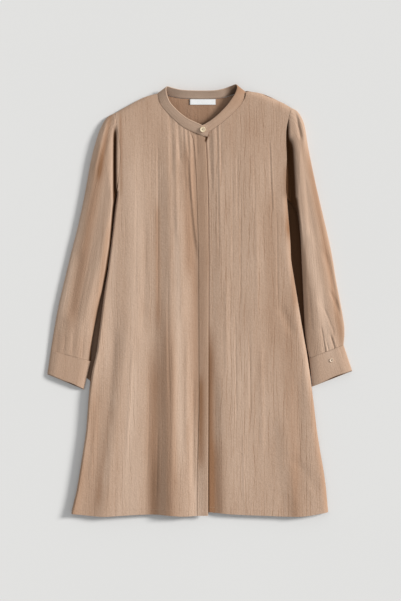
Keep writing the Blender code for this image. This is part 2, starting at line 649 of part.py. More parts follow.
def make_button(name, diameter, place, normal, colour):
    """Button with four holes, lying on its carrier at the place, square to the normal."""
    radius = diameter / 2
    button = finish(name, button_blank(radius), colour, 0.4)
    holes = bmesh.new()
    reach = radius * 0.30 * MM
    for k in range(4):
        angle = math.pi / 4 + k * math.pi / 2
        hole = bmesh.ops.create_cone(holes, cap_ends=True, segments=6,
                                     radius1=BUTTON_HOLE / 2 * MM, radius2=BUTTON_HOLE / 2 * MM,
                                     depth=4 * BUTTON_THICK * MM)
        bmesh.ops.translate(holes, verts=hole["verts"],
                            vec=(reach * math.cos(angle), reach * math.sin(angle), 0))
    cutter = finish(name + "_holes", holes, colour, 0.4)
    cutter.hide_render = True
    cutter.display_type = "WIRE"
    cutter.parent = button
    cut = button.modifiers.new("holes", "BOOLEAN")
    cut.object = cutter
    cut.operation = "DIFFERENCE"
    cut.solver = "EXACT"
    button.location = to_frame(np.array(place) + np.array(normal) * SEAM)
    button.rotation_mode = "QUATERNION"
    button.rotation_quaternion = Vector(normal).to_track_quat("Z", "Y")


def make_neck_button():
    """On the upper end of the band."""
    row = BAND[1]
    seam = np.array([row.seam_x, row.seam_y, row.seam_z])
    across = np.array([row.top_x, row.top_y, row.top_z]) - seam
    along = np.array([1.0, 0.0, 0.0])
    out = np.cross(along, across)
    out /= np.linalg.norm(out)
    place = seam + across * BUTTON_SHARE + out * (PRESSED / 2 + BAND_CROWN)
    make_button("button_collar", NECK_BUTTON, place, out, CREAM)


def make_label():
    x = LABEL_CENTRE.x + np.array([-0.5, 0.5]) * LABEL_WIDTH
    y = LABEL_CENTRE.y + np.array([-0.5, 0.5]) * LABEL_HEIGHT
    grid_x, grid_y = np.meshgrid(x, y)
    low = np.full(grid_x.shape, BACK_TOP + SEAM)
    slab("label", np.dstack([grid_x, grid_y, low + LABEL_THICK]),
         np.dstack([grid_x, grid_y, low]), WHITE, 0.6)


def build():
    for old in list(bpy.data.objects):
        bpy.data.objects.remove(old, do_unlink=True)
    make_back()
    make_front_right()
    make_front_left()
    make_placket()
    make_band()
    make_sleeve("sleeve_right", SLEEVE_OUTER_RIGHT, SLEEVE_INNER_RIGHT, ARMHOLE_RIGHT, -0.5,
                SLEEVE_FOLDS_RIGHT)
    make_sleeve("sleeve_left", SLEEVE_OUTER_LEFT, SLEEVE_INNER_LEFT, ARMHOLE_LEFT, 0.5,
                SLEEVE_FOLDS_LEFT)
    make_cuff("cuff_right", SLEEVE_OUTER_RIGHT, SLEEVE_INNER_RIGHT, CUFF_CORNERS_RIGHT)
    make_cuff("cuff_left", SLEEVE_OUTER_LEFT, SLEEVE_INNER_LEFT, CUFF_CORNERS_LEFT)
    make_neck_button()
    make_button("button_cuff", CUFF_BUTTON, (*CUFF_BUTTON_PLACE, CUFF_LOFT), (0.0, 0.0, 1.0), TAUPE)
    make_label()


build()
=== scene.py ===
import math
from collections import namedtuple

import bmesh
import bpy
import numpy as np
from mathutils import Matrix, Vector


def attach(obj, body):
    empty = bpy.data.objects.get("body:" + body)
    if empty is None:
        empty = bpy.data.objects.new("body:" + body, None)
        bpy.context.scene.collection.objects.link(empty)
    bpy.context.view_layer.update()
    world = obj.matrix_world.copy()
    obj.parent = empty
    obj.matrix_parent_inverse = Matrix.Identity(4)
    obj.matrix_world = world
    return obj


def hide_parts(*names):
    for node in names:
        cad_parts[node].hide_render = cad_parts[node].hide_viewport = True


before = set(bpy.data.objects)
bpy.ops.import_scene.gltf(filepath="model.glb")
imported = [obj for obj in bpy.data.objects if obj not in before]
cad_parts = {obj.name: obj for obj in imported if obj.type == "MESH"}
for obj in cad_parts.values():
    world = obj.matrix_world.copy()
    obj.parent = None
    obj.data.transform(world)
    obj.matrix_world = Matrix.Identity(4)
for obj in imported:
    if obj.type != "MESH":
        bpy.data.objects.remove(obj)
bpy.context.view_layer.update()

MM = 0.001
UP = (0.0, 0.0, 1.0)


def rows(kind, *values):
    """Table with the columns of this kind."""
    return [kind(*row) for row in values]


# ---- sizes (mm) ----------------------------------------------------------------------------
LENGTH = 957.0            # lowest point of the hem to the top of the band
CLOTH = 1.5               # height of the back panel's upper face
THIN = 0.9                # wall of one layer of cloth
PRESSED = 2.0             # wall of the band, a pressed double piece
STRIP_WALL = 1.1          # wall of the placket and the cuffs
SEAM = 0.3                # clear distance between two pieces
LOFT = 12.0               # height of the fronts over the surface, away from their edges
EDGE_ROUND = 24.0         # how far in from the edges the folds reach their full height
SLEEVE_DOME = 36.0        # how far in from a sleeve's side the cloth reaches its full height
HEAD_DOME = 15.0          # the same, at the armhole, where the sleeve meets the high front
CUFF_DOME = 22.0          # the same, for the cuffs
SHOULDER_ROUND = 15.0     # the same, for the shoulders of the fronts
SIDE_ROUND_RIGHT = 5.0    # the same, for the side of the right front, which is folded under
SIDE_ROUND_LEFT = 13.0    # the same, for the side of the left front
SIDE_ROLL = 3.0           # how far the right front's folded side stands above it
CUFF_LOFT = 10.0          # height of the flattened cuffs
SIDE_SHARE = 0.40         # height of a tube's widest line, as a share of its full height
SIDE_TUCK = 3.0           # how far the flat underside of a tube starts in from its side
RIM = CLOTH + SEAM + CLOTH             # height of the fronts at the side and shoulder seams
LAP = PRESSED + SEAM                   # how far the left front lies under the placket
LAP_EASE = 30.0                        # how far beyond the placket the left front comes level
HEM_DEPTH = 13.0          # depth of the turned hem
HEM_STEP = 0.35           # how far the doubled hem stands proud
STRIP_ROLL = 1.6          # how far in from the placket's edges its cloth rolls over
STRIP_DROP = 0.7          # and how far down
UNDER_SLEEVE = 0.9        # how far the back panel's thin edge reaches in under the sleeves
BACK_RIM = 0.7            # height of that edge
BESIDE_CUFF = 0.62        # how far down a cuff's inner side it reaches, as a share
SLEEVE_SEAM = 0.5         # from a front's armhole to the sleeve
SLEEVE_LENGTH = 560.0     # along the cloth, for its grain
CUFF_DROP = SEAM + 0.1    # from the sleeve's end to the cuff
CUFF_DEPTH = 56.0
CUFF_LIP = 1.6            # the cuff's underside reaches beyond its wrist edge by this
LIP_START = 0.9           # share of the length from which the lip grows
BAND_LENGTH = 440.0
BAND_DEPTH = 24.0
BAND_RINGS = 420          # places along the band
FRONT_CRINKLE = 0.9       # strength of the crinkle on the fronts
STRIP_CRINKLE = 0.45      # the same, on the placket
BACK_CRINKLE = 0.35       # on the back panel
SLEEVE_CRINKLE = 0.7      # on the sleeves
CUFF_CRINKLE = 0.3        # and on the cuffs
CALM_REACH = 10.0         # how far in from a sewn edge the crinkle is back in full
ROLL_REACH = 15.0         # how far in from the side its roll fades
ROLL_TOP = 520.0          # height from which the roll grows towards the hem
ROLL_GROWTH = 140.0       # and over how much of the height

# ---- outlines (mm) -------------------------------------------------------------------------
Point = namedtuple("Point", "x y")

SIDE_RIGHT = rows(Point,
    (-285, 6), (-273, 57), (-262, 124), (-252, 190), (-246, 268), (-238, 324), (-228, 368),
    (-214, 479), (-204, 546), (-197, 602), (-188, 679), (-183, 716))
ARMHOLE_RIGHT = rows(Point,
    (-183, 716), (-180, 739), (-176.5, 780), (-176, 813), (-179, 839), (-183, 866), (-187, 895))
SHOULDER_RIGHT = rows(Point, (-187, 895), (-155, 913), (-121, 930), (-94, 939))

SIDE_LEFT = rows(Point,
    (285, 9), (278, 79), (267, 146), (260, 190), (252, 257), (240, 346), (225, 435), (210, 524),
    (203, 568), (201, 613), (194, 702))
ARMHOLE_LEFT = rows(Point,
    (194, 702), (191, 724), (191.5, 760), (192.5, 795), (191, 835), (193, 864), (203, 906))
SHOULDER_LEFT = rows(Point, (203, 906), (178, 919.5), (134, 938), (104, 947))

HEM_RIGHT = rows(Point,
    (-285, 6), (-222, 0), (-177, 1.5), (-133, 4), (-88, 4), (-40, 0.5), (-6, 1.5))
HEM_LEFT = rows(Point, (-1, 9), (21, 9), (67, 5), (134, 2), (223, 0), (285, 9))
BACK_HEM_RISE = 4.0       # the back's hem lies this much above the fronts' hem

# The neck band's sewn edge and free edge, once round, from its upper end at the centre front over
# the right shoulder, the back and the left shoulder to its lower end.
Band = namedtuple("Band", "seam_x seam_y seam_z top_x top_y top_z")
BAND = rows(Band,
    (18.5, 841.0, 11.2, 19, 865, 16.0), (8, 842, 11.2, 6, 866, 16.0),
    (-5, 847.5, 11.2, -3, 870, 16.0), (-22, 854, 11.2, -13, 874.5, 16.0),
    (-36, 861, 11.2, -25, 880, 16.0), (-51, 873, 11.2, -38, 889, 16.0),
    (-64, 885, 11.2, -49, 898.5, 16.0), (-75, 897, 11.0, -58, 907.5, 16.0),
    (-86, 911, 10.5, -66, 918, 16.0), (-92, 926, 8.5, -71.5, 931, 16.0),
    (-93, 937, 5.5, -74, 946, 15.8), (-85, 938.5, 2.6, -71, 951.5, 15.5),
    (-71, 934.5, 1.3, -60, 948.5, 15.0), (-45, 928.5, 1.1, -42, 944.5, 14.5),
    (-20, 927, 1.1, -20, 943, 14.0), (5, 926.5, 1.1, 5, 942.5, 14.0),
    (34, 927, 1.1, 33, 943, 14.5), (58, 930.5, 1.1, 52, 946.5, 15.0),
    (80, 938, 1.3, 68, 952, 15.5), (94, 942, 2.6, 80, 956, 15.5), (102, 940, 5.5, 82, 948, 15.8),
    (100.5, 930, 8.5, 78, 936, 16.0), (94, 916.5, 10.5, 71.5, 925.5, 16.0),
    (81, 900, 11.0, 61.5, 911.5, 16.0), (67, 887, 10.8, 51.5, 900.5, 15.6),
    (54, 875.5, 10.4, 41, 890, 15.2), (39, 864, 9.6, 27.5, 879, 14.2),
    (22, 852.5, 8.6, 14, 870.5, 12.6), (1, 844, 8.4, 1, 864, 12.2))
BACK_NECK_GAP = 1.2       # from the middle of the standing band's sewn edge to the back panel
FRONT_NECK_GAP = 0.3      # from the middle of the lying band's sewn edge to a front
SHOULDER_NECK_GAPS = (0.3, 0.4, 0.6, 0.9)       # the same, where the band stands up at a shoulder
BAND_CROWN = 0.5          # the band's middle stands this much proud of its edges
LAST_FRONT_RIGHT = 10     # row where the band turns at the right shoulder
FIRST_FRONT_LEFT = 20     # row where it turns at the left shoulder
BUTTON_SHARE = 0.62       # the neck button's place across the band, from the sewn edge

Strip = namedtuple("Strip", "y stitch free")
PLACKET_TOP, PLACKET_TOP_FREE = 853.4, 839.3    # its upper end, at the stitching and the free edge
FRONT_LEFT_CORNER = Point(1, 843.4)             # upper end of the left front's centre edge
PLACKET = rows(Strip,
    (855, -22, 12), (835, -15, 12), (813, -12, 14), (746, -8, 17), (657, -5, 19), (568, -3, 19.5),
    (235, -2, 19), (90, -6, 18.5), (2, -6, 18.5))

SLEEVE_OUTER_RIGHT = rows(Point,
    (-187.6, 894.7), (-207, 882.5), (-220.5, 859), (-229.5, 833), (-241, 790), (-253, 724),
    (-262, 679), (-272, 635), (-283, 592), (-305, 502), (-315, 457), (-323, 413), (-330.5, 368))
SLEEVE_INNER_RIGHT = rows(Point,
    (-183.6, 715.4), (-191, 690), (-195, 640), (-199, 595), (-206, 546), (-216, 502), (-235, 413),
    (-240, 379), (-242, 344))
CUFF_CORNERS_RIGHT = rows(Point, (-338, 316), (-257, 282))
SLEEVE_OUTER_LEFT = rows(Point,
    (203.6, 905.6), (218.5, 895.5), (231.5, 869), (241, 815), (255, 746), (265, 702), (286, 613),
    (295, 568), (302, 524), (318, 439), (321, 408), (319, 380))
SLEEVE_INNER_LEFT = rows(Point,
    (194.6, 701.3), (207, 690), (217, 667), (223, 624), (227, 546), (230, 479), (232, 426),
    (236, 386), (243, 351))
CUFF_CORNERS_LEFT = rows(Point, (338, 323), (250, 288.5))

# Heights of the sleeves along their length: share of the way from armhole to cuff, height (mm).
Rise = namedtuple("Rise", "share height")
SLEEVE_RISE = rows(Rise, (0.0, 12.0), (0.12, 15.0), (0.45, 15.5), (0.85, 14.0), (1.0, 10.5))

# ---- folds (mm) ----------------------------------------------------------------------------
# A fold runs from its start to its end, bowed to the side at its middle. With no run-out it is a
# rounded ridge, or a trough where its height is below zero. With a run-out the cloth steps up
# across it, towards +X, or towards -X where the run-out is below zero, and eases down again.
Fold = namedtuple("Fold", "x0 y0 x1 y1 width height bow run_out", defaults=(0, 0))
FOLD_FADE = 0.2           # share of a fold's length over which each end fades
FOLDS_RIGHT = rows(Fold,
    (-86, 900, -80, -160, 13, 3.4, 9, 55),  # long front fold from the band to the hem
    (-93, 540, -86, -230, 15, 3.6, 4, 50),  # the same fold, deeper towards the hem
    (-168, 500, -240, -90, 18, 3.4, 4, 50),  # soft fold towards the side of the hem
    (-38, 868, -4, 560, 8, 1.8, -3, 40),  # slanted fold from the band to the placket
    (-150, 860, -150, 300, 22, 1.2),  # soft roll under the shoulder
    # gathers under the band
    (-66, 905, -63, 740, 4.4, -0.8, 2), (-48, 892, -42, 775, 3.8, -0.9, -1.5),
    (-38, 884, -31, 715, 3.4, -0.8, 2), (-29, 878, -22, 790, 3.0, -0.9, -1),
    (-19, 872, -13, 755, 3.0, -0.7, 1.5), (-8, 868, -5, 790, 3.0, -0.8))
FOLDS_LEFT = rows(Fold,
    (33, 340, 36, -80, 12, -2.6),  # hollow beside the placket, down to the hem
    (172, 240, 215, -60, 16, 2.2, -6, 45),  # soft fold towards the side of the hem
    (176, 470, 208, 400, 9, -1.4),  # slanted crease above the hip
    (186, 140, 266, 50, 10, -0.9, 6),  # slanted crease near the hem
    (110, 880, 120, 250, 26, 1.2, 6),  # soft roll under the shoulder
    # gathers under the band
    (19, 872, 25, 740, 3.2, -0.7), (35, 886, 40, 770, 3.2, -0.8, 2),
    (47, 894, 50, 750, 3.6, -0.6, -2))
SLEEVE_FOLDS_RIGHT = rows(Fold,
    (-193, 910, -216, 780, 5, -0.9),  # pleat at the sleeve head
    (-200, 860, -196, 690, 7, 0.9, -3),  # ridge beside it
    (-200, 760, -276, 400, 12, 2.8, 6, 40),  # long slanted fold from the underarm
    (-262, 600, -290, 430, 10, -1.8),
    (-253, 440, -262, 340, 6, -0.6),  # gathers above the cuff
    (-276, 430, -281, 345, 5, -0.4), (-297, 445, -303, 350, 6, -0.4),
    (-315, 420, -319, 355, 5, -0.4))
SLEEVE_FOLDS_LEFT = rows(Fold,
    (220, 885, 284, 380, 9, 3.0, -9, -40),  # long ridge down the arm
    (210, 905, 226, 830, 5, -2.2),  # pleat at the sleeve head
    (271, 600, 309, 440, 7, -2.6, 5),  # slanted crease over the elbow
    (236, 640, 262, 470, 8, 2.0, 4, 30),
    (265, 424, 278, 352, 4.0, -0.5, 1),  # gathers above the cuff
    (286, 410, 302, 354, 4.0, -0.5, 1), (306, 415, 312, 372, 5, -0.3))
# Cloth tucked in beside each armhole.
TUCK_RIGHT = rows(Fold, (-187.5, 875, -187.5, 660, 3.6, -8.0, -1))
TUCK_LEFT = rows(Fold, (193, 905, 197, 668, 3.5, -6.0), (198, 850, 208, 640, 7, -8.5, 1))
TUCK_DEEPEST = 5.0        # depth from which a tuck gets the full painted shade

# Finer creases over the folds above.
PLACKET_HOLLOW = rows(Fold, (-9, 960, -6, -150, 15, -3.0))  # hollow along the stitched line
CREASES_RIGHT = rows(Fold,
    (-92.5, 850, -92, 440, 2.2, -0.6),  # sharp crease down the chest
    (-53, 862, -50, 600, 4.5, 0.9),  # ridges between the gathers
    (-34, 876, -30, 730, 3.0, 0.7), (-24, 870, -16, 680, 3.0, 0.7),
    (-28, 815, -7, 560, 4.0, -0.9, -3),  # curved fold towards the placket
    (-22, 790, -3, 580, 2.6, 0.5, -3),
    (-46, 720, -40, 400, 9, 1.1, 2),  # soft roll beside it
    (-70, 560, -66, 240, 2.0, -0.4, -2), (-122, 690, -126, 380, 7, -0.7, 2),
    (-139, 730, -142, 470, 2.4, -0.3), (-112, 330, -118, 60, 2.2, -0.4, 2),
    (-146, 400, -163, 120, 2.6, 0.4), (-186, 420, -204, 190, 8, -0.9),
    (-225, 260, -246, 60, 6, 0.7), (-92, 210, -96, 20, 2.4, -0.5), (-58, 400, -60, 60, 6, 0.9),
    (-28, 420, -30, 120, 5, 0.8), (-14, 330, -16, 40, 4, -0.9),
    (-108, 420, -108, -250, 18, -1.6))  # hollow beside the long fold, to the hem
CREASES_LEFT = rows(Fold,
    (24, 870, 27, 700, 2.4, -0.3),  # down from the gathers
    (30, 876, 33, 700, 2.6, 0.4), (42, 880, 45, 640, 3.0, 0.6), (41, 790, 43, 560, 1.8, -0.5),
    (72, 800, 73, 480, 1.8, -0.35), (83, 820, 84, 640, 1.8, -0.4), (91, 760, 90, 430, 1.8, -0.4),
    (121, 800, 122, 660, 1.8, -0.4), (126, 700, 128, 420, 5, 0.6), (153, 850, 161, 660, 2.0, -0.5),
    (157, 850, 165, 660, 2.0, 0.45), (170, 690, 173, 460, 1.8, -0.5), (58, 540, 60, 300, 5, 0.7),
    (78, 470, 82, 190, 1.8, -0.5), (110, 430, 112, 200, 1.8, -0.4), (134, 400, 140, 130, 6, 0.7),
    (214, 330, 226, 20, 14, -1.6),  # soft trough towards the hem
    (96, 200, 98, 20, 1.8, 0.4),
    (130, 74, 205, 26, 2.2, -0.35, 3),  # slanted creases near the hem
    (146, 92, 236, 34, 2.4, -0.40, 3), (168, 96, 248, 44, 2.0, -0.35, 2),
    (186, 112, 262, 52, 2.2, -0.35, 2), (214, 118, 268, 78, 2.0, -0.30, 2))
SLEEVE_CREASES_RIGHT = rows(Fold,
    (-188, 898, -190, 820, 3.0, 0.9),  # light ridge at the sleeve head
    (-205, 885, -236, 760, 3.0, 0.6, 2), (-222, 800, -252, 640, 3.4, -0.5, 2),
    (-206, 660, -228, 470, 5.0, 0.8), (-240, 560, -268, 420, 3.0, 0.4, -2),
    (-222, 500, -250, 380, 2.6, -0.4), (-284, 560, -308, 430, 3.0, 0.4),
    (-258, 402, -261, 346, 2.2, -0.35),  # gathers above the cuff
    (-280, 408, -283, 352, 2.2, -0.35), (-297, 402, -301, 356, 2.4, -0.30))
SLEEVE_CREASES_LEFT = rows(Fold,
    (214, 895, 224, 830, 2.0, -0.9),  # crease at the sleeve head
    (232, 760, 246, 600, 3.0, -0.4), (262, 720, 278, 600, 3.4, 0.5),
    (284, 505, 318, 430, 2.8, -1.7, 2),  # slanted crease over the elbow
    (290, 510, 322, 440, 3.0, 0.8, 2), (270, 470, 300, 395, 2.6, -0.7, 2),
    (240, 520, 250, 400, 3.0, -0.4),
    (267, 426, 280, 352, 1.8, -0.8, 1),  # gathers above the cuff
    (288, 404, 302, 358, 1.5, -1.2, 1), (280, 388, 289, 354, 1.6, -0.7),
    (274, 398, 284, 356, 2.2, 0.6), (294, 402, 307, 362, 2.2, 0.7),
    (271, 382, 277, 350, 1.5, -0.4))

# Painted light and shade along the folds: the height is how much lighter (above zero, painted
# light) or darker (below zero, painted shade) the cloth is painted.
PAINTED_LIGHT_RIGHT = rows(Fold,
    (-139, 920, -150, -120, 20, 0.55),  # light fold down the middle
    (-94, 720, -92, 380, 7, -0.50),  # shade beside the long fold
    (-72, 520, -62, -260, 18, -0.50),  # the same, deeper towards the hem
    (-100, 420, -104, -260, 16, -0.62),
    (-52, 690, -40, 60, 8, 0.75),  # light back of the long fold
    (-32, 850, -24, 500, 10, -0.40),
    (-14, 900, -6, 130, 12, -0.45),  # shade along the placket
    (-184, 660, -212, 290, 10, 0.45),  # light edge beside the slit
    (-176, 915, -173, 690, 3.5, -0.50),  # crease beside the armhole
    (-186, 300, -214, 40, 8, 0.40),  # light on the fold towards the side
    (-228, 340, -244, -120, 24, -0.25),
    (-186, 280, -230, 0, 9, -0.40),  # slanted shade towards the hem
    (-264, 180, -300, -220, 15, -0.45),  # side, near the hem
    (-134, 380, -184, -80, 9, 0.30),  # light crest left of the hollow
    (-8, 130, -8, -260, 9, 0.60),
    (-130, 1000, -130, 760, 75, -0.15))  # shoulder
PAINTED_LIGHT_LEFT = rows(Fold,
    (22, 460, 26, -150, 10, -0.90),  # shade along the placket
    (38, 200, 44, -200, 16, -0.50),
    (92, 460, 92, 0, 28, 0.40),  # light fold beside it
    (152, 760, 166, 320, 18, -0.30), (192, 560, 222, -110, 18, -0.35),
    (191, 790, 196, 600, 6, -0.60),  # edge beside the slit
    (195, 680, 215, 440, 7, -0.50), (206, 150, 214, -220, 9, -0.20),
    (243, 320, 300, -105, 9, -0.50),  # side edge, near the hem
    (100, 1020, 130, 760, 90, -0.12))  # shoulder
PAINTED_LIGHT_PLACKET = rows(Fold,
    (4, 1050, 4, 60, 30, -0.40), (1, 330, 2, 90, 9, -0.60), (-2, 120, -2, -260, 9, 0.55))
PAINTED_LIGHT_SLEEVE_RIGHT = rows(Fold,
    (-208, 860, -296, 370, 13, -0.55, 3),  # shade along the middle
    (-196, 680, -246, 320, 6, -0.45),  # inner edge
    (-240, 850, -320, 400, 7, 0.50, 6),  # outer edge
    (-191, 915, -226, 730, 6, -0.60, -2),  # shade of the pleat at the head
    (-212, 895, -250, 770, 7, 0.75), (-280, 420, -300, 220, 60, -0.15))
PAINTED_LIGHT_SLEEVE_LEFT = rows(Fold,
    (222, 700, 303, 290, 12, 0.60),  # light ridge down the arm
    (226, 860, 326, 320, 9, -0.65, 4),  # outer edge
    (226, 640, 250, 320, 12, -0.35),  # shade of the slit
    (262, 620, 300, 350, 9, -0.15))
# Painted light on the band's outer face near the centre front.
BAND_PAINTED_LIGHT = 0.18

# Shares that change with the height.
Level = namedtuple("Level", "y share")
# Painted shade on the band's outer face where it stands up in the light, by height.
BAND_PAINTED_SHADE = rows(Level, (850, 0.15), (897, 0.26), (915, 0.42), (933, 0.54), (946, 0.80))
# Shares of the painted shade along the placket's free edge: a narrow line and a broad band.
LAP_LINE = rows(Level, (0, 1.0), (100, 0.95), (170, 0.55))
LAP_BROAD = rows(Level, (60, 0.12), (180, 0.30), (290, 0.30), (420, 0.0))

BAND_SLIT = rows(Fold, (12.0, 828, 19, 848, 2.1, 1.6))  # painted shade of the slit under the band's end
# Painted shade on the right front, in its long hollow.
SHADES_RIGHT = rows(Fold,
    (-96, 200, -110, -500, 15, 0.38),  # painted shade in the hollow, towards the hem
    (-66, 160, -64, -500, 8, 0.22))

# Painted shade in the slit between body and sleeve: how far it reaches out from the body's
# edge in full, and over what further distance it fades.
Gap = namedtuple("Gap", "y solid soft")
GAPS_RIGHT = rows(Gap,
    (900, -4, 2), (770, -4, 3), (712, 3, 3), (701, 5, 2.5), (650, 3.5, 2.5), (600, 2.5, 2),
    (500, 5, 3), (457, 9, 4), (370, 14, 3), (330, 10, 3))
GAPS_LEFT = rows(Gap,
    (905, -5, 3), (860, -4, 4), (835, -1, 6), (800, 2, 6), (770, 5, 6), (735, 10, 7), (702, 18, 8),
    (675, 20, 8), (646, 19.5, 8), (590, 17, 8), (535, 13, 8), (500, 9, 8), (400, 1, 6),
    (350, 0, 3))
BACK_SHADE = 0.97         # painted shade of the back panel in the slits
BACK_SHADE_LOW = 0.72     # the same in the wide end of the wearer's right slit
NECK_SHADE = 0.10         # painted shade of the back panel inside the neck
NECK_PAINTED_SHADE_TONE = -0.60         # and how much painted shade darkens its cloth there

# Soft folds of the back panel, under the back of the neck.
BACK_FOLDS = rows(Fold,
    (-20, 925, -24, 800, 8, 0.4), (22, 925, 26, 800, 9, 0.4), (46, 925, 50, 820, 7, 0.4),
    (-46, 925, -50, 840, 7, 0.3))

# ---- buttons and label (mm) ----------------------------------------------------------------
NECK_BUTTON = 12.0
CUFF_BUTTON = 9.0
CUFF_BUTTON_PLACE = Point(292, 346)
BUTTON_THICK = 2.2
BUTTON_HOLE = 1.5
BUTTON_DISH = 0.72        # height of its hollow, as a share of its thickness
HOLE_REACH = 0.30         # from its middle to a hole's, as a share of its radius
BUTTON_THREAD = 0.32      # half the thickness of its thread
THREAD_SHIFT = 0.22       # half the distance between two threads
LABEL_WIDTH, LABEL_HEIGHT, LABEL_THICK = 58.0, 12.0, 1.0
LABEL_CENTRE = Point(6.5, 919.0)

# ---- stitches (mm) -------------------------------------------------------------------------
STITCH = 2.3              # length of one stitch
STITCH_GAP = 0.8
THREAD = 0.36
STITCH_RISE = THREAD / 2 - 0.05         # a stitch's middle above the cloth
EDGE_STITCH = 2.0         # from an edge to its row of stitches

# ---- view ----------------------------------------------------------------------------------
CAMERA_HEIGHT = 3.0       # metres
SENSOR = 36.0
SHOWN_LENGTH = 1.3355     # metres from the top to the bottom of the picture
CAMERA_X, CAMERA_Y = 0.0017, -0.0003
SUN_STRENGTH = 3.93
SUN_SPREAD = 14           # degrees across the light
SUN_TOWARDS = (1.0, 0.38, 0.50)
SUN_COLOUR = (1.0, 0.985, 0.96)
ROOM_STRENGTH = 0.52
ROOM_COLOUR = (0.965, 0.975, 0.975, 1)

# ---- surface -------------------------------------------------------------------------------
LATTICE = 256             # values a side in a table of random levels
INNER_GRAIN = 30.0        # the inner side's grain is read this far (mm) from the outer side's
TAUPE = (0.490, 0.340, 0.248, 1.0)
# Lighter taupe: for lighter dye at random and for painted light.
TAUPE_LIGHT = (0.600, 0.440, 0.336, 1.0)
# Darker taupe: for darker dye at random and for painted shade along the folds and crease lines.
TAUPE_DARK = (0.288, 0.150, 0.080, 1.0)
# Near-black brown of the painted shade in slits, hollows and inside the neck.
PAINTED_SHADE_COLOUR = (0.062, 0.0235, 0.0060, 1.0)


# ---- curves, patches and heights -----------------------------------------------------------
def smooth(share):
    """Smooth step from 0 to 1."""
    t = np.clip(share, 0.0, 1.0)
    return t * t * (3.0 - 2.0 * t)


def round_up(share):
    """Quarter of a circle, from 0 at the edge to 1."""
    t = 1 - np.clip(share, 0.0, 1.0)
    return np.sqrt(np.clip(1 - t * t, 0.0, 1.0))


def column(table, name):
    return [getattr(row, name) for row in table]


def look_up(table, key, at, name):
    """One column of a table, read between its rows at a value of the key column."""
    table = sorted(table, key=lambda row: getattr(row, key))
    return np.interp(at, column(table, key), column(table, name))


def straight(points):
    """Place along a run of straight lines, as a function of the share of its length."""
    points = np.array([tuple(p) for p in points], float)
    length = np.concatenate([[0.0], np.cumsum(np.linalg.norm(np.diff(points, axis=0), axis=1))])
    length /= length[-1]

    def at(share):
        return np.stack([np.interp(share, length, values) for values in points.T], axis=-1)
    return at


def curve(points, fine=14):
    """Smooth curve through the points, as a function of the share of its length."""
    places = np.array([tuple(p) for p in points], float)
    before = np.vstack([2 * places[0] - places[1], places[:-1]])
    after = np.vstack([places[1:], 2 * places[-1] - places[-2]])
    tangent = (after - before) / 2.0
    t = np.linspace(0.0, 1.0, fine, endpoint=False)[:, None]
    samples = [(2 * t**3 - 3 * t**2 + 1) * places[i] + (t**3 - 2 * t**2 + t) * tangent[i]
               + (3 * t**2 - 2 * t**3) * places[i + 1] + (t**3 - t**2) * tangent[i + 1]
               for i in range(len(places) - 1)]
    return straight(np.vstack(samples + [places[-1:]]))


def joined(first, second, share):
    """Two curves end to end, the first over the given share."""
    def at(t):
        near = first(np.clip(t / share, 0, 1))
        far = second(np.clip((t - share) / (1 - share), 0, 1))
        return np.where((t < share)[..., None], near, far)
    return at


def patch(start_side, end_side, top, bottom):
    """Surface between four edge curves: u runs from start to end, v from top to bottom."""
    def at(u, v):
        ruled_u, ruled_v = u[..., None], v[..., None]
        (top_start, top_end), (low_start, low_end) = top(np.arange(2)), bottom(np.arange(2))
        ruled = ((1 - ruled_u) * start_side(v) + ruled_u * end_side(v)
                 + (1 - ruled_v) * top(u) + ruled_v * bottom(u))
        corners = ((1 - ruled_u) * (1 - ruled_v) * top_start + ruled_u * (1 - ruled_v) * top_end
                   + (1 - ruled_u) * ruled_v * low_start + ruled_u * ruled_v * low_end)
        return ruled - corners
    return at


def distance_to(line, x, y):
    """Distance from each place to a run of straight lines."""
    best = np.full(np.shape(x), 1e9)
    for a, b in zip(line[:-1], line[1:]):
        dx, dy = b[0] - a[0], b[1] - a[1]
        t = np.clip(((x - a[0]) * dx + (y - a[1]) * dy) / (dx * dx + dy * dy), 0, 1)
        best = np.minimum(best, np.hypot(x - a[0] - t * dx, y - a[1] - t * dy))
    return best


def fold_lift(folds, x, y):
    """How far the folds lift the cloth at each place."""
    lift = np.zeros(np.shape(x))
    for f in folds:
        dx, dy = f.x1 - f.x0, f.y1 - f.y0
        length = math.hypot(dx, dy)
        along = ((x - f.x0) * dx + (y - f.y0) * dy) / length**2
        aside = (-(x - f.x0) * dy + (y - f.y0) * dx) / length
        inside = np.clip(along, 0, 1)
        aside = aside - f.bow * 4 * inside * (1 - inside)
        if f.run_out == 0:
            shape = np.exp(-(aside / f.width) ** 2)
        else:
            across = aside * math.copysign(1, f.run_out)
            shape = (smooth(across / (2 * f.width) + 0.5)
                     * np.exp(-np.clip(across - f.width, 0, None) / abs(f.run_out)))
        lift = lift + f.height * smooth(along / FOLD_FADE) * smooth((1 - along) / FOLD_FADE) * shape
    return lift


def slopes(height, x, y, step):
    """Slope of a height function along x and along y."""
    return ((height(x + step, y) - height(x - step, y)) / (2 * step),
            (height(x, y + step) - height(x, y - step)) / (2 * step))


def spread(*stretches):
    """Shares from 0 on, made of stretches given as (end, number of steps)."""
    shares, start = [0.0], 0.0
    for end, steps in stretches:
        shares += list(np.linspace(start, end, steps + 1)[1:])
        start = end
    return np.array(shares)


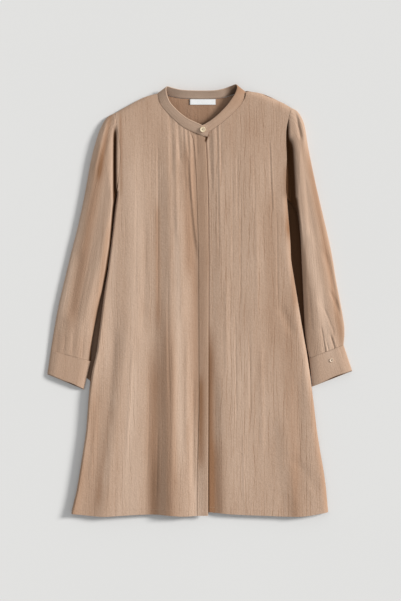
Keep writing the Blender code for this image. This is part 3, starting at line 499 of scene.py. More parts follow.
# ---- crinkle -------------------------------------------------------------------------------
def streaks(x, y, wide, long, seed):
    """Uneven streaks along y, from -1 to 1, this wide and this long."""
    random = np.random.default_rng(seed)
    level = random.uniform(-1, 1, (LATTICE, LATTICE))
    start = random.uniform(0, LATTICE, LATTICE)
    strip = x / wide
    left = np.floor(strip).astype(int)
    share = smooth(strip - left)

    def streak(k):
        place = y / long + start[k % LATTICE]
        step = np.floor(place).astype(int)
        t = smooth(place - step)
        return (level[k % LATTICE, step % LATTICE] * (1 - t)
                + level[k % LATTICE, (step + 1) % LATTICE] * t)
    return streak(left) * (1 - share) + streak(left + 1) * share


def crinkle(x, y, seed, strength):
    """Relief of the crinkled cloth, along y: long swells with narrower pleats on them."""
    sway = x + 5.0 * streaks(x, y, 70, 170, seed)
    swell = streaks(sway, y, 13.0, 230, seed + 1)
    pleat = streaks(sway, y, 6.0, 150, seed + 2)
    line = streaks(sway, y, 3.2, 110, seed + 3)
    patchy = 0.75 + 0.35 * streaks(x, y, 50, 130, seed + 4)
    return strength * patchy * (0.20 * swell + 0.10 * pleat + 0.04 * line)


# ---- meshes --------------------------------------------------------------------------------
def to_frame(points):
    """Table millimetres to metres in the part's frame."""
    return (np.asarray(points, float) - [0.0, LENGTH / 2, 0.0]) * MM


def show(name, data):
    piece = bpy.data.objects.new(name, data)
    bpy.context.scene.collection.objects.link(piece)
    return piece


def smooth_mesh(mesh, sharp):
    mesh.shade_smooth()
    mesh.set_sharp_from_angle(angle=math.radians(sharp))


def hold(mesh, label, values, kind="FLOAT"):
    """Gives a mesh named values, one for each point."""
    held = mesh.attributes.new(label, kind, "POINT")
    held.data.foreach_set("value" if kind == "FLOAT" else "vector", np.ravel(values))


def new_piece(name, points, faces, grain, painted_shade, tone, finish):
    """Mesh object with the cloth's grain (mm), the painted shade of each point in slits and
    hollows,
    and its tone of painted light and shade: lighter above zero and darker below."""
    mesh = bpy.data.meshes.new(name)
    mesh.from_pydata(to_frame(points).tolist(), [], faces)
    hold(mesh, "grain", grain * MM, "FLOAT_VECTOR")
    hold(mesh, "painted_shade", painted_shade)
    hold(mesh, "tone", tone)
    work = bmesh.new()
    work.from_mesh(mesh)
    bmesh.ops.recalc_face_normals(work, faces=work.faces)
    work.to_mesh(mesh)
    work.free()
    mesh.materials.append(finish)
    smooth_mesh(mesh, 60)
    return show(name, mesh)


def walled(name, outer, inner, grain, faces, painted_shade, tone, finish):
    """Closed wall between two grids of places."""
    outer, inner, grain = (grid.reshape(-1, 3) for grid in (outer, inner, grain))
    return new_piece(name, np.vstack([outer, inner]), np.vstack(faces).tolist(),
                     np.vstack([grain, grain + [0, 0, INNER_GRAIN]]), np.tile(painted_shade.ravel(), 2),
                     np.tile(tone.ravel(), 2), finish)


def grid_faces(down, across, start=0):
    """Four-sided faces of a grid of points."""
    i, j = np.meshgrid(np.arange(down - 1), np.arange(across - 1), indexing="ij")
    first = (start + i * across + j).ravel()
    return np.column_stack([first, first + 1, first + across + 1, first + across])


def ring_faces(rings, count):
    """Four-sided faces between closed rings of points."""
    i, j = np.meshgrid(np.arange(rings - 1), np.arange(count), indexing="ij")
    a = (i * count + j).ravel()
    b = (i * count + (j + 1) % count).ravel()
    return np.column_stack([a, b, b + count, a + count])


def shell(name, x, y, upper, lower, painted_shade, tone, finish):
    """Closed sheet of cloth between its upper and its lower height."""
    number = np.arange(x.size).reshape(x.shape)
    border = np.concatenate([number[0], number[1:, -1], number[-1, -2::-1], number[-2:0:-1, 0]])
    following = np.roll(border, -1)
    rim = np.column_stack([border, border + x.size, following + x.size, following])
    faces = [grid_faces(*x.shape), grid_faces(*x.shape, x.size)[:, ::-1], rim]
    top = np.dstack([x, y, upper])
    return walled(name, top, np.dstack([x, y, lower]), top, faces, painted_shade, tone, finish)


def tube(name, outer, inner, grain, painted_shade, tone, finish):
    """Closed wall between two stacks of rings, open at both ends."""
    rings, count = outer.shape[:2]
    total = rings * count
    outside = ring_faces(rings, count)
    k = np.arange(count)
    m = (k + 1) % count
    first = np.column_stack([k, k + total, m + total, m])
    faces = [outside, outside[:, ::-1] + total, first, first[:, ::-1] + (rings - 1) * count]
    return walled(name, outer, inner, grain, faces, painted_shade, tone, finish)


# ---- node trees ----------------------------------------------------------------------------
class Wire:
    """A node's output. Sums, differences, products and quotients of wires add Math nodes."""

    def __init__(self, socket):
        self.socket = socket

    def __getitem__(self, label):
        return Wire(self.socket.node.outputs[label])

    def add(self, kind, inputs=(), out=0, **settings):
        return add_node(self.socket.id_data, kind, inputs, out, **settings)

    def math(self, operation, *others, clamp=False):
        return self.add("ShaderNodeMath", enumerate((self, *others)), operation=operation,
                        use_clamp=clamp)

    def __add__(self, other):
        return self.math("ADD", other)

    def __sub__(self, other):
        return self.math("SUBTRACT", other)

    def __mul__(self, other):
        return self.math("MULTIPLY", other)

    def __truediv__(self, other):
        return self.math("DIVIDE", other)

    def __rtruediv__(self, other):
        return self.add("ShaderNodeMath", {0: other, 1: self}, operation="DIVIDE")

    def mapped(self, low, high, to_low=0.0, to_high=1.0, ease="SMOOTHSTEP"):
        """The value carried from one range to another."""
        return self.add("ShaderNodeMapRange",
                        {"Value": self, "From Min": low, "From Max": high, "To Min": to_low,
                         "To Max": to_high}, interpolation_type=ease)

    def blend(self, first, second):
        """Mix of two colours by this share."""
        return self.add("ShaderNodeMix", {"Factor": self, 6: first, 7: second}, 2,
                        data_type="RGBA")


def fill(made, inputs):
    """Links each input of a node that is given a wire, and sets any other."""
    for key, value in dict(inputs).items():
        if isinstance(value, Wire):
            made.id_data.links.new(value.socket, made.inputs[key])
        else:
            made.inputs[key].default_value = value


def add_node(tree, kind, inputs=(), out=0, **settings):
    """Output of a new node of this kind."""
    made = tree.nodes.new(kind)
    for key, value in settings.items():
        setattr(made, key, value)
    fill(made, inputs)
    return Wire(made.outputs[out])


def new_socket(tree, label, way, kind, value=None):
    socket = tree.interface.new_socket(label, in_out=way, socket_type="NodeSocket" + kind)
    if value is not None:
        socket.default_value = value


def noise(place, scale=1.0, **others):
    return place.add("ShaderNodeTexNoise", {"Vector": place, "Scale": scale, **others}, "Fac")


def stretched_noise(grain, wide, long, detail, layer):
    """Noise drawn out along the grain; wide and long are wires or metres."""
    scale = grain.add("ShaderNodeCombineXYZ", {"X": 1.0 / wide, "Y": 1.0 / long, "Z": 40.0})
    place = grain.add("ShaderNodeVectorMath", {0: grain, 1: scale, 2: (layer,) * 3},
                      operation="MULTIPLY_ADD")
    return noise(place, Detail=detail, Roughness=0.45)


def chance(*values):
    """Random value from 0 to 1 that belongs to these numbers."""
    place = values[0].add("ShaderNodeCombineXYZ", enumerate(values))
    return place.add("ShaderNodeTexWhiteNoise", {"Vector": place}, "Value")


def bump(height, strength, distance, **others):
    return height.add("ShaderNodeBump", {"Height": height, "Strength": strength,
                                         "Distance": distance, **others})


# ---- effects that the materials share ------------------------------------------------------
def crease_lines(across, along, strip, long, half, share, layer):
    """Thin broken lines, one to a strip of the cloth, that wander a little within it.

    They are this long and as wide as twice half, and this share of the stretches has one."""
    place = across / strip
    number = place.math("FLOOR")
    run = along / long + chance(number, layer) * 31.0
    wander = run.add("ShaderNodeCombineXYZ", {"X": number * 7.31, "Y": run * 0.8, "Z": layer})
    drift = noise(wander, Detail=2.0, Roughness=0.35).mapped(0.25, 0.75, 0.12, 0.88, "LINEAR")
    off = (place.math("FRACT") - drift).math("ABSOLUTE")
    line = (off * strip).mapped(0.0, half, 1.0, 0.0)
    ends = run.math("PINGPONG", 0.5).mapped(0.0, 0.22)
    there = chance(number, run.math("FLOOR"), layer)
    return line * ends * there.mapped(1.0 - share, 1.0 - share * 0.4)


def crushed_lines(given):
    """Crushed cloth: thin crease lines along the grain, coarse and fine, over soft swells."""
    grain, strip, long = given["Grain"], given["Spacing"], given["Length"]
    parts = grain.add("ShaderNodeSeparateXYZ", {0: grain})
    sway = stretched_noise(grain, 0.03, 0.07, 1.0, 3.0) - 0.5
    kink = stretched_noise(grain, 0.006, 0.011, 1.0, 9.0) - 0.5
    across = kink * 0.0016 + (sway * 0.008 + parts["X"])
    coarse = crease_lines(across, parts["Y"], strip, long, 0.0011, 0.62, 1.0)
    middle = crease_lines(across, parts["Y"], strip * 0.53, long * 0.62, 0.0009, 0.5, 2.0)
    fine = crease_lines(across, parts["Y"], strip * 0.29, long * 0.25, 0.0007, 0.45, 3.0)
    broken = stretched_noise(grain, 0.0022, 0.006, 1.0, 41.0).mapped(0.35, 0.55, 0.6, 1.0)
    lines = coarse.math("MAXIMUM", middle * 0.75).math("MAXIMUM", fine * 0.45) * broken
    swell = stretched_noise(grain, strip * 0.5, long * 0.8, 1.0, 57.0)
    crumple = stretched_noise(grain, 0.0045, 0.0055, 2.0, 71.0)
    return {"Height": swell * 1.1 + crumple * 1.9 - lines, "Line": lines}


def plain_weave(given):
    """Plain weave: threads over and under, with uneven thickness."""
    grain = given["Grain"]
    turn = math.pi / given["Pitch"]
    parts = grain.add("ShaderNodeSeparateXYZ", {0: grain})
    warp, weft = ((parts[way] * turn).math("SINE") for way in "XY")
    return {"Height": warp * weft * 0.5 + noise(grain, 900.0, Detail=1.0)}


def cloth_tone(given):
    """Cloth colour: uneven dye, painted light and shade along the folds, and painted shade in the
    crease lines, slits and hollows.
    """
    cloud = stretched_noise(given["Grain"], 0.022, 0.12, 2.0, 3.0)
    grainy = stretched_noise(given["Grain"], 0.0018, 0.003, 1.0, 5.0)
    lighter = cloud.mapped(0.5, 0.75, 0.0, 0.22) + grainy.mapped(0.5, 0.8, 0.0, 0.22)
    darker = cloud.mapped(0.5, 0.25, 0.0, 0.16) + grainy.mapped(0.5, 0.2, 0.0, 0.18)
    # Painted light where the tone is above zero, painted shade where it is below.
    raised = given["Tone"].math("MAXIMUM", 0.0, clamp=True)
    sunken = given["Tone"].math("MULTIPLY", -1.0, clamp=True)
    colour = given["Colour"]
    for share, towards in ((lighter, "Light"), (darker, "Dark"), (raised, "Light"),
                           (sunken, "Dark"), (given["Line"], "Dark"), (given["Deep"], "Depths")):
        colour = share.blend(colour, given[towards])
    return {"Colour": colour}


def shader_group(build, **inputs):
    """Group with these named inputs, and an output for each result of its builder."""
    tree = bpy.data.node_groups.new(build.__name__, "ShaderNodeTree")
    for label, value in inputs.items():
        kind = {1: "Float", 3: "Vector", 4: "Color"}[np.size(value)]
        new_socket(tree, label, "INPUT", kind, value)
    results = build(add_node(tree, "NodeGroupInput"))
    for label in results:
        new_socket(tree, label, "OUTPUT", "Color" if label == "Colour" else "Float")
    fill(tree.nodes.new("NodeGroupOutput"), results)
    return tree


NO_GRAIN = (0.0, 0.0, 0.0)
LINES = shader_group(crushed_lines, Grain=NO_GRAIN, Spacing=0.009, Length=0.11)
WEAVE = shader_group(plain_weave, Grain=NO_GRAIN, Pitch=0.00045)
TONE = shader_group(cloth_tone, Colour=TAUPE, Light=TAUPE_LIGHT, Dark=TAUPE_DARK, Depths=PAINTED_SHADE_COLOUR,
                    Grain=NO_GRAIN, Line=0.0, Deep=0.0, Tone=0.0)


# ---- materials -----------------------------------------------------------------------------
def new_material(name, build, *values):
    """Material whose builder gives the shader's inputs."""
    made = bpy.data.materials.new(name)
    made.use_nodes = True
    fill(made.node_tree.nodes["Principled BSDF"], build(made.node_tree, *values))
    return made


def held_value(tree, label, out="Fac"):
    return add_node(tree, "ShaderNodeAttribute", out=out, attribute_name=label)


def place_on(tree):
    return add_node(tree, "ShaderNodeTexCoord", out="Object")


def cloth(tree, spacing, length, relief, line_shade):
    """Matt viscose: crease lines this far apart and this long, plain weave and a soft sheen."""
    grain = held_value(tree, "grain", "Vector")
    lines = add_node(tree, "ShaderNodeGroup", node_tree=LINES)
    fill(lines.socket.node, {"Grain": grain, "Spacing": spacing, "Length": length})
    weave = add_node(tree, "ShaderNodeGroup", node_tree=WEAVE)
    fill(weave.socket.node, {"Grain": grain, "Pitch": 0.00045})
    # The tone group mixes in painted light and shade from the points' values, and painted shade
    # along the crease lines.
    tone = add_node(tree, "ShaderNodeGroup", node_tree=TONE)
    fill(tone.socket.node, {"Colour": TAUPE, "Light": TAUPE_LIGHT, "Dark": TAUPE_DARK,
                            "Depths": PAINTED_SHADE_COLOUR, "Grain": grain, "Line": lines["Line"] * line_shade,
                            "Deep": held_value(tree, "painted_shade"), "Tone": held_value(tree, "tone")})
    return {"Base Color": tone,
            "Normal": bump(weave, 0.6, 0.00016, Normal=bump(lines["Height"], 1.0, relief)),
            "Roughness": lines["Line"].mapped(0.0, 1.0, 0.72, 0.86),
            "Specular IOR Level": 0.12, "Sheen Weight": 0.10, "Sheen Roughness": 0.45,
            "Sheen Tint": (0.96, 0.86, 0.76, 1.0)}


def thread(tree, colour):
    """Twisted sewing thread."""
    place = place_on(tree)
    ply = place.add("ShaderNodeTexWave", {"Vector": place, "Scale": 100.0, "Distortion": 1.0},
                    "Fac", bands_direction="DIAGONAL")
    # Darker in the grooves between the plies: painted shade.
    dark = [c * 0.7 for c in colour[:3]] + [1.0]
    return {"Base Color": ply.blend(dark, colour), "Normal": bump(ply, 0.5, 0.00006),
            "Roughness": 0.55, "Sheen Weight": 0.15}


def horn(tree, colour, cloud_colour):
    """Polished horn: cloudy, with a soft coat."""
    place = place_on(tree)
    cloud = noise(place, 260.0, Detail=3.0, Distortion=1.2).mapped(0.35, 0.7, ease="LINEAR")
    return {"Base Color": cloud.blend(colour, cloud_colour),
            "Normal": bump(noise(place, 2500.0), 0.2, 0.00003),
            "Roughness": 0.32, "Coat Weight": 0.35, "Coat Roughness": 0.2}


def tape(tree, colour):
    """Satin label tape: fine ribs across."""
    weave = add_node(tree, "ShaderNodeGroup", node_tree=WEAVE)
    fill(weave.socket.node, {"Grain": held_value(tree, "grain", "Vector"), "Pitch": 0.0005})
    # Darker between the ribs: painted shade.
    dark = [c * 0.9 for c in colour[:3]] + [1.0]
    return {"Base Color": weave.blend(dark, colour), "Normal": bump(weave, 0.5, 0.0001),
            "Roughness": 0.5, "Sheen Weight": 0.3}


def board(tree):
    """Pale matt floor."""
    cloud = noise(place_on(tree), 1.5)
    return {"Base Color": cloud.blend((0.722, 0.722, 0.720, 1), (0.745, 0.745, 0.743, 1)),
            "Roughness": 0.9, "Specular IOR Level": 0.1}


# The last number is how much painted shade the crease lines get.
CRUSHED_CLOTH = new_material("crushed_viscose", cloth, 0.0105, 0.13, 0.00024, 0.62)
SOFT_CLOTH = new_material("soft_viscose", cloth, 0.010, 0.15, 0.00024, 0.30)
PLAIN_CLOTH = new_material("pressed_viscose", cloth, 0.008, 0.06, 0.00016, 0.18)
THREAD_TAUPE = new_material("taupe_thread", thread, (0.50, 0.36, 0.26, 1.0))
THREAD_BROWN = new_material("brown_thread", thread, (0.05, 0.035, 0.025, 1.0))
THREAD_CREAM = new_material("cream_thread", thread, (0.62, 0.5, 0.36, 1.0))
HORN = new_material("cream_horn", horn, (0.88, 0.74, 0.52, 1.0), (0.80, 0.64, 0.42, 1.0))
DYED_HORN = new_material("dyed_horn", horn, (0.74, 0.57, 0.43, 1.0), (0.68, 0.51, 0.38, 1.0))
TAPE = new_material("label_tape", tape, (0.86, 0.87, 0.88, 1.0))


# ---- body ----------------------------------------------------------------------------------
def seam_points(rows_of_band):
    return [Point(r.seam_x, r.seam_y) for r in rows_of_band]


NECK_RIGHT = seam_points(BAND[:LAST_FRONT_RIGHT + 1])
NECK_LEFT = seam_points(BAND[FIRST_FRONT_LEFT:])


def neck_seam(line, shoulder_first):
    """A front's neck edge: the band's sewn edge moved away from the neck by the gaps."""
    gaps = [FRONT_NECK_GAP] * (len(line) - len(SHOULDER_NECK_GAPS)) + list(SHOULDER_NECK_GAPS)
    if shoulder_first:
        gaps = gaps[::-1]
    moved = []
    for i, p in enumerate(line):
        a, b = line[max(i - 1, 0)], line[min(i + 1, len(line) - 1)]
        length = math.hypot(b.x - a.x, b.y - a.y)
        out_x, out_y = (b.y - a.y) / length, -(b.x - a.x) / length
        if out_y > 0:
            out_x, out_y = -out_x, -out_y
        moved.append(Point(p.x + gaps[i] * out_x, p.y + gaps[i] * out_y))
    return moved


def placket_x(name, y):
    """Stitched or free edge of the placket at a height."""
    return look_up(PLACKET, "y", y, name)


def body_height(side, side_round, shoulder, folds, x, y):
    """Outer height of a front, low only along its side and its shoulder."""
    from_side, from_shoulder = distance_to(side, x, y), distance_to(shoulder, x, y)
    share = np.minimum(from_side / side_round, from_shoulder / SHOULDER_ROUND)
    inside = smooth(np.minimum(from_side, from_shoulder) / EDGE_ROUND)
    return RIM + (LOFT - RIM) * round_up(share) + fold_lift(folds, x, y) * inside


def hem_lift(hem, x, y):
    """The doubled cloth of the turned hem."""
    return HEM_STEP * smooth((HEM_DEPTH - (y - look_up(hem, "x", x, "y"))) / 2.0 + 0.5)


def calm(edges, x, y):
    """Share of the crinkle that is left near sewn edges."""
    share = np.ones(np.shape(x))
    for edge in edges:
        share = share * smooth((distance_to(edge, x, y) - 1.0) / CALM_REACH)
    return share


def right_base(x, y):
    """The right front, its side rolled up a little below the cuff."""
    far = distance_to(SIDE_RIGHT, x, y)
    roll = SIDE_ROLL * round_up(far / SIDE_ROUND_RIGHT) * np.exp(-(far / ROLL_REACH) ** 2)
    return roll * smooth((ROLL_TOP - y) / ROLL_GROWTH) + body_height(
        SIDE_RIGHT, SIDE_ROUND_RIGHT, SHOULDER_RIGHT,
        FOLDS_RIGHT + CREASES_RIGHT + PLACKET_HOLLOW, x, y)


def right_height(x, y):
    relief = crinkle(x, y, 11, FRONT_CRINKLE) * calm((SIDE_RIGHT, NECK_RIGHT), x, y)
    return right_base(x, y) + relief + hem_lift(HEM_RIGHT, x, y)


def left_height(x, y):
    """The left front dips under the placket."""
    beyond = x - placket_x("free", y)
    dip = LAP * (1 - smooth((beyond - 1.0) / LAP_EASE))
    relief = (crinkle(x, y, 31, FRONT_CRINKLE) * calm((SIDE_LEFT, NECK_LEFT), x, y)
              * smooth((beyond + 1.0) / 6.0))
    form = body_height(SIDE_LEFT, SIDE_ROUND_LEFT, SHOULDER_LEFT,
                       FOLDS_LEFT + CREASES_LEFT + PLACKET_HOLLOW, x, y)
    return form - dip + relief + hem_lift(HEM_LEFT, x, y)


def valley_shade(x, y):
    return np.clip(fold_lift(SHADES_RIGHT, x, y), 0, 1)


def lap_shade(x, y):
    """Painted shade on the left front along the placket's free edge, and in the slit under the
    band.
    """
    beyond = x - placket_x("free", y)
    line = np.exp(-((beyond - 1.0) / 2.0) ** 2) * look_up(LAP_LINE, "y", y, "share")
    broad = np.exp(-(beyond / 9.0) ** 2) * look_up(LAP_BROAD, "y", y, "share")
    return np.clip(line + broad + fold_lift(BAND_SLIT, x, y), 0, 1)


def front_panel(name, side, armhole, shoulder, neck, centre, hem, height, chest_columns, tones,
                painted_shade, finish):
    """One front, from its side and armhole to its centre edge."""
    outside = joined(curve(armhole[::-1]), curve(side[::-1]), 0.20)
    top = joined(curve(shoulder[:-1] + [neck[0]]), curve(neck), 0.45)
    columns = spread((0.02, 6), (0.10, 16), *chest_columns)
    u, v = np.meshgrid(columns, spread((0.012, 9), (0.10, 22), (0.20, 20), (1.0, 120)))
    places = patch(outside, centre, top, curve(hem))(u, v)
    x, y = places[..., 0], places[..., 1]
    upper = height(x, y)
    wall = THIN * np.sqrt(1 + np.hypot(*slopes(height, x, y, 0.5)) ** 2)
    # Painted shade from the shade function, and painted light and shade along the folds from the
    # tones.
    return shell(name, x, y, upper, np.maximum(upper - wall, CLOTH + SEAM), painted_shade(x, y),
                 fold_lift(tones, x, y), finish)


def make_front_right():
    first = Point(float(placket_x("stitch", PLACKET_TOP)), PLACKET_TOP)
    neck = [p for p in neck_seam(NECK_RIGHT, False)[::-1] if p.x < first.x - 3] + [first]

    def centre(share):
        y = PLACKET_TOP + (HEM_RIGHT[-1].y - PLACKET_TOP) * share
        return np.stack([placket_x("stitch", y), y], axis=-1)
    return front_panel("front_right_cloth", SIDE_RIGHT, ARMHOLE_RIGHT, SHOULDER_RIGHT, neck,
                       centre, HEM_RIGHT, right_height, ((0.45, 70), (1.0, 128)), PAINTED_LIGHT_RIGHT,
                       valley_shade, SOFT_CLOTH)


def make_front_left():
    neck = neck_seam(NECK_LEFT, True)[:-1] + [FRONT_LEFT_CORNER]
    centre = curve([FRONT_LEFT_CORNER, Point(FRONT_LEFT_CORNER.x, 400), HEM_LEFT[0]])
    return front_panel("front_left_cloth", SIDE_LEFT, ARMHOLE_LEFT, SHOULDER_LEFT, neck, centre,
                       HEM_LEFT[::-1], left_height, ((0.45, 74), (1.0, 124)), PAINTED_LIGHT_LEFT,
                       lap_shade, CRUSHED_CLOTH)


def placket_height(x, y):
    """Pressed strip in the surface of the right front, rolled over at both edges."""
    edge = np.minimum(x - (placket_x("stitch", y) + SEAM), placket_x("free", y) - x)
    roll = STRIP_DROP * (1 - round_up(edge / STRIP_ROLL))
    pressed = crinkle(x, y, 51, STRIP_CRINKLE) * smooth(edge / 4.0)
    return right_base(x, y) + pressed - roll + hem_lift(HEM_RIGHT, x, y)


def placket_place(across, down):
    """Place on the placket: across from the stitching to the free edge, down from the neck."""
    start = PLACKET_TOP + (PLACKET_TOP_FREE - PLACKET_TOP) * across
    end = HEM_RIGHT[-1].y + (PLACKET[-1].y - HEM_RIGHT[-1].y) * across
    y = start + (end - start) * down
    stitch = placket_x("stitch", y) + SEAM
    return stitch + (placket_x("free", y) - stitch) * across, y


def make_placket():
    x, y = placket_place(*np.meshgrid(spread((0.08, 5), (0.92, 18), (1.0, 5)),
                                      np.linspace(0, 1, 260)))
    z = placket_height(x, y)
    # Painted shade of the slit under the band's end, and painted light and shade along the placket.
    return shell("placket_strip", x, y, z, z - STRIP_WALL, fold_lift(BAND_SLIT, x, y),
                 fold_lift(PAINTED_LIGHT_PLACKET, x, y), PLAIN_CLOTH)


def back_edge(way, armhole, inner, corner, side):
    """The back panel's edge from an armhole, beside the sleeve and the cuff, to the hem."""
    arm = [Point(x - way * SEAM, y) for x, y in curve(armhole)(np.linspace(0, 1, 13))]
    shares = np.concatenate([np.linspace(0.01, 0.20, 20), np.linspace(0.24, 0.98, 20)])
    under = [Point(x + way * UNDER_SLEEVE, y - SEAM) for x, y in curve(inner)(shares)]
    lowest = Point(inner[-1].x + (corner.x - inner[-1].x) * BESIDE_CUFF,
                   inner[-1].y + (corner.y - inner[-1].y) * BESIDE_CUFF)
    below = lowest.y - 6
    start = Point(float(look_up(side, "y", below, "x")), below)
    body = [p for p in side if p.y < below - 4] + [start]
    end = Point(body[0].x, body[0].y + BACK_HEM_RISE)
    return arm[::-1] + under + [lowest] + body[:0:-1] + [end]


def make_back():
    """Flat back panel. Below the armholes it spreads to the sleeves, with painted shade there and
    inside the neck.
    """
    right = back_edge(-1, ARMHOLE_RIGHT, SLEEVE_INNER_RIGHT, CUFF_CORNERS_RIGHT[1], SIDE_RIGHT)
    left = back_edge(1, ARMHOLE_LEFT, SLEEVE_INNER_LEFT, CUFF_CORNERS_LEFT[1], SIDE_LEFT)
    neck = [Point(p.x, p.y - BACK_NECK_GAP)
            for p in seam_points(BAND[LAST_FRONT_RIGHT + 2:FIRST_FRONT_LEFT - 1])]
    corner_right = Point(SHOULDER_RIGHT[-1].x - 1.5, SHOULDER_RIGHT[-1].y - 2)
    corner_left = Point(SHOULDER_LEFT[-1].x + 1.5, SHOULDER_LEFT[-1].y - 3)
    top = ([right[0]] + SHOULDER_RIGHT[1:-1] + [corner_right] + neck + [corner_left]
           + SHOULDER_LEFT[1:-1][::-1] + [left[0]])
    hem = [Point(p.x, p.y + BACK_HEM_RISE) for p in HEM_RIGHT[1:-1] + HEM_LEFT[1:-1]]
    surface = patch(straight(right), straight(left), straight(top),
                    straight([right[-1]] + hem + [left[-1]]))
    u, v = np.meshgrid(np.linspace(0, 1, 141),
                       spread((0.10, 24), (0.17, 10), (0.36, 90), (1.0, 70)))
    places = surface(u, v)
    x, y = places[..., 0], places[..., 1]
    inside = np.minimum(np.minimum(u, 1 - u) * 400, np.minimum(v, 1 - v) * 900)
    relief = crinkle(x, y, 71, BACK_CRINKLE) + fold_lift(BACK_FOLDS, x, y)
    relief = np.clip(relief * smooth(inside / 8.0), -0.5, 2.0)
    upper = BACK_RIM + (CLOTH - BACK_RIM) * smooth(inside / 6.0) + relief
    # Painted shade in the slits beside the sleeves, less in the wide end of the wearer's right
    # slit, and inside the neck, where the cloth is also painted darker.
    beyond = np.where(x < 0, look_up(SIDE_RIGHT, "y", y, "x") - x,
                      x - look_up(SIDE_LEFT, "y", y, "x"))
    low = np.interp(y, [440, 560], [BACK_SHADE_LOW, BACK_SHADE])
    slit = np.where(x < 0, low, BACK_SHADE) * smooth((beyond + 3) / 3.0) * smooth((y - 285) / 20.0)
    seen = smooth((y - 840) / 12.0) * smooth((110 - np.abs(x)) / 10.0)
    beside = (0.90 * np.exp(-(distance_to(NECK_LEFT, x, y) / 19.0) ** 2)
              + 0.45 * smooth((885 - y) / 28.0))
    painted_shade = np.maximum(slit, seen * np.minimum(NECK_SHADE + beside, 1.0))
    return shell("back_cloth", x, y, upper, np.zeros(x.shape), painted_shade, seen * NECK_PAINTED_SHADE_TONE,
                 SOFT_CLOTH)


# ---- sleeves and cuffs ---------------------------------------------------------------------
SIDE_STEPS = np.array([0.0, 0.5, 1.2, 2.2, 3.6, 5.5, 8.0, 11.0, 14.5])
SIDE_TURNS = np.linspace(0, math.pi / 2, 6)[1:]
Opening = namedtuple("Opening", "middle half depth")     # shares of a tube's width, and mm
SHUT = Opening(0.5, 1.0, 0.0)
Arm = namedtuple("Arm", "name way outer inner corners side armhole folds tucks tones gaps opening "
                        "seed")
RIGHT_ARM = Arm("right", -1, SLEEVE_OUTER_RIGHT, SLEEVE_INNER_RIGHT, CUFF_CORNERS_RIGHT,
                SIDE_RIGHT, ARMHOLE_RIGHT, SLEEVE_FOLDS_RIGHT + SLEEVE_CREASES_RIGHT, TUCK_RIGHT,
                PAINTED_LIGHT_SLEEVE_RIGHT, GAPS_RIGHT, Opening(0.68, 0.15, 1.3), 91)
LEFT_ARM = Arm("left", 1, SLEEVE_OUTER_LEFT, SLEEVE_INNER_LEFT, CUFF_CORNERS_LEFT, SIDE_LEFT,
               ARMHOLE_LEFT, SLEEVE_FOLDS_LEFT + SLEEVE_CREASES_LEFT, TUCK_LEFT,
               PAINTED_LIGHT_SLEEVE_LEFT, GAPS_LEFT, Opening(0.42, 0.25, 2.4), 111)


def crown(far, dome):
    """Share of a flattened tube's full height, by the distance from its side."""
    return 0.3 * round_up(far / 6.0) + 0.7 * np.sin(np.clip(far / dome, 0, 1) * math.pi / 2)


def unit(rows_of_vectors):
    return rows_of_vectors / np.maximum(np.linalg.norm(rows_of_vectors, axis=1), 1e-9)[:, None]


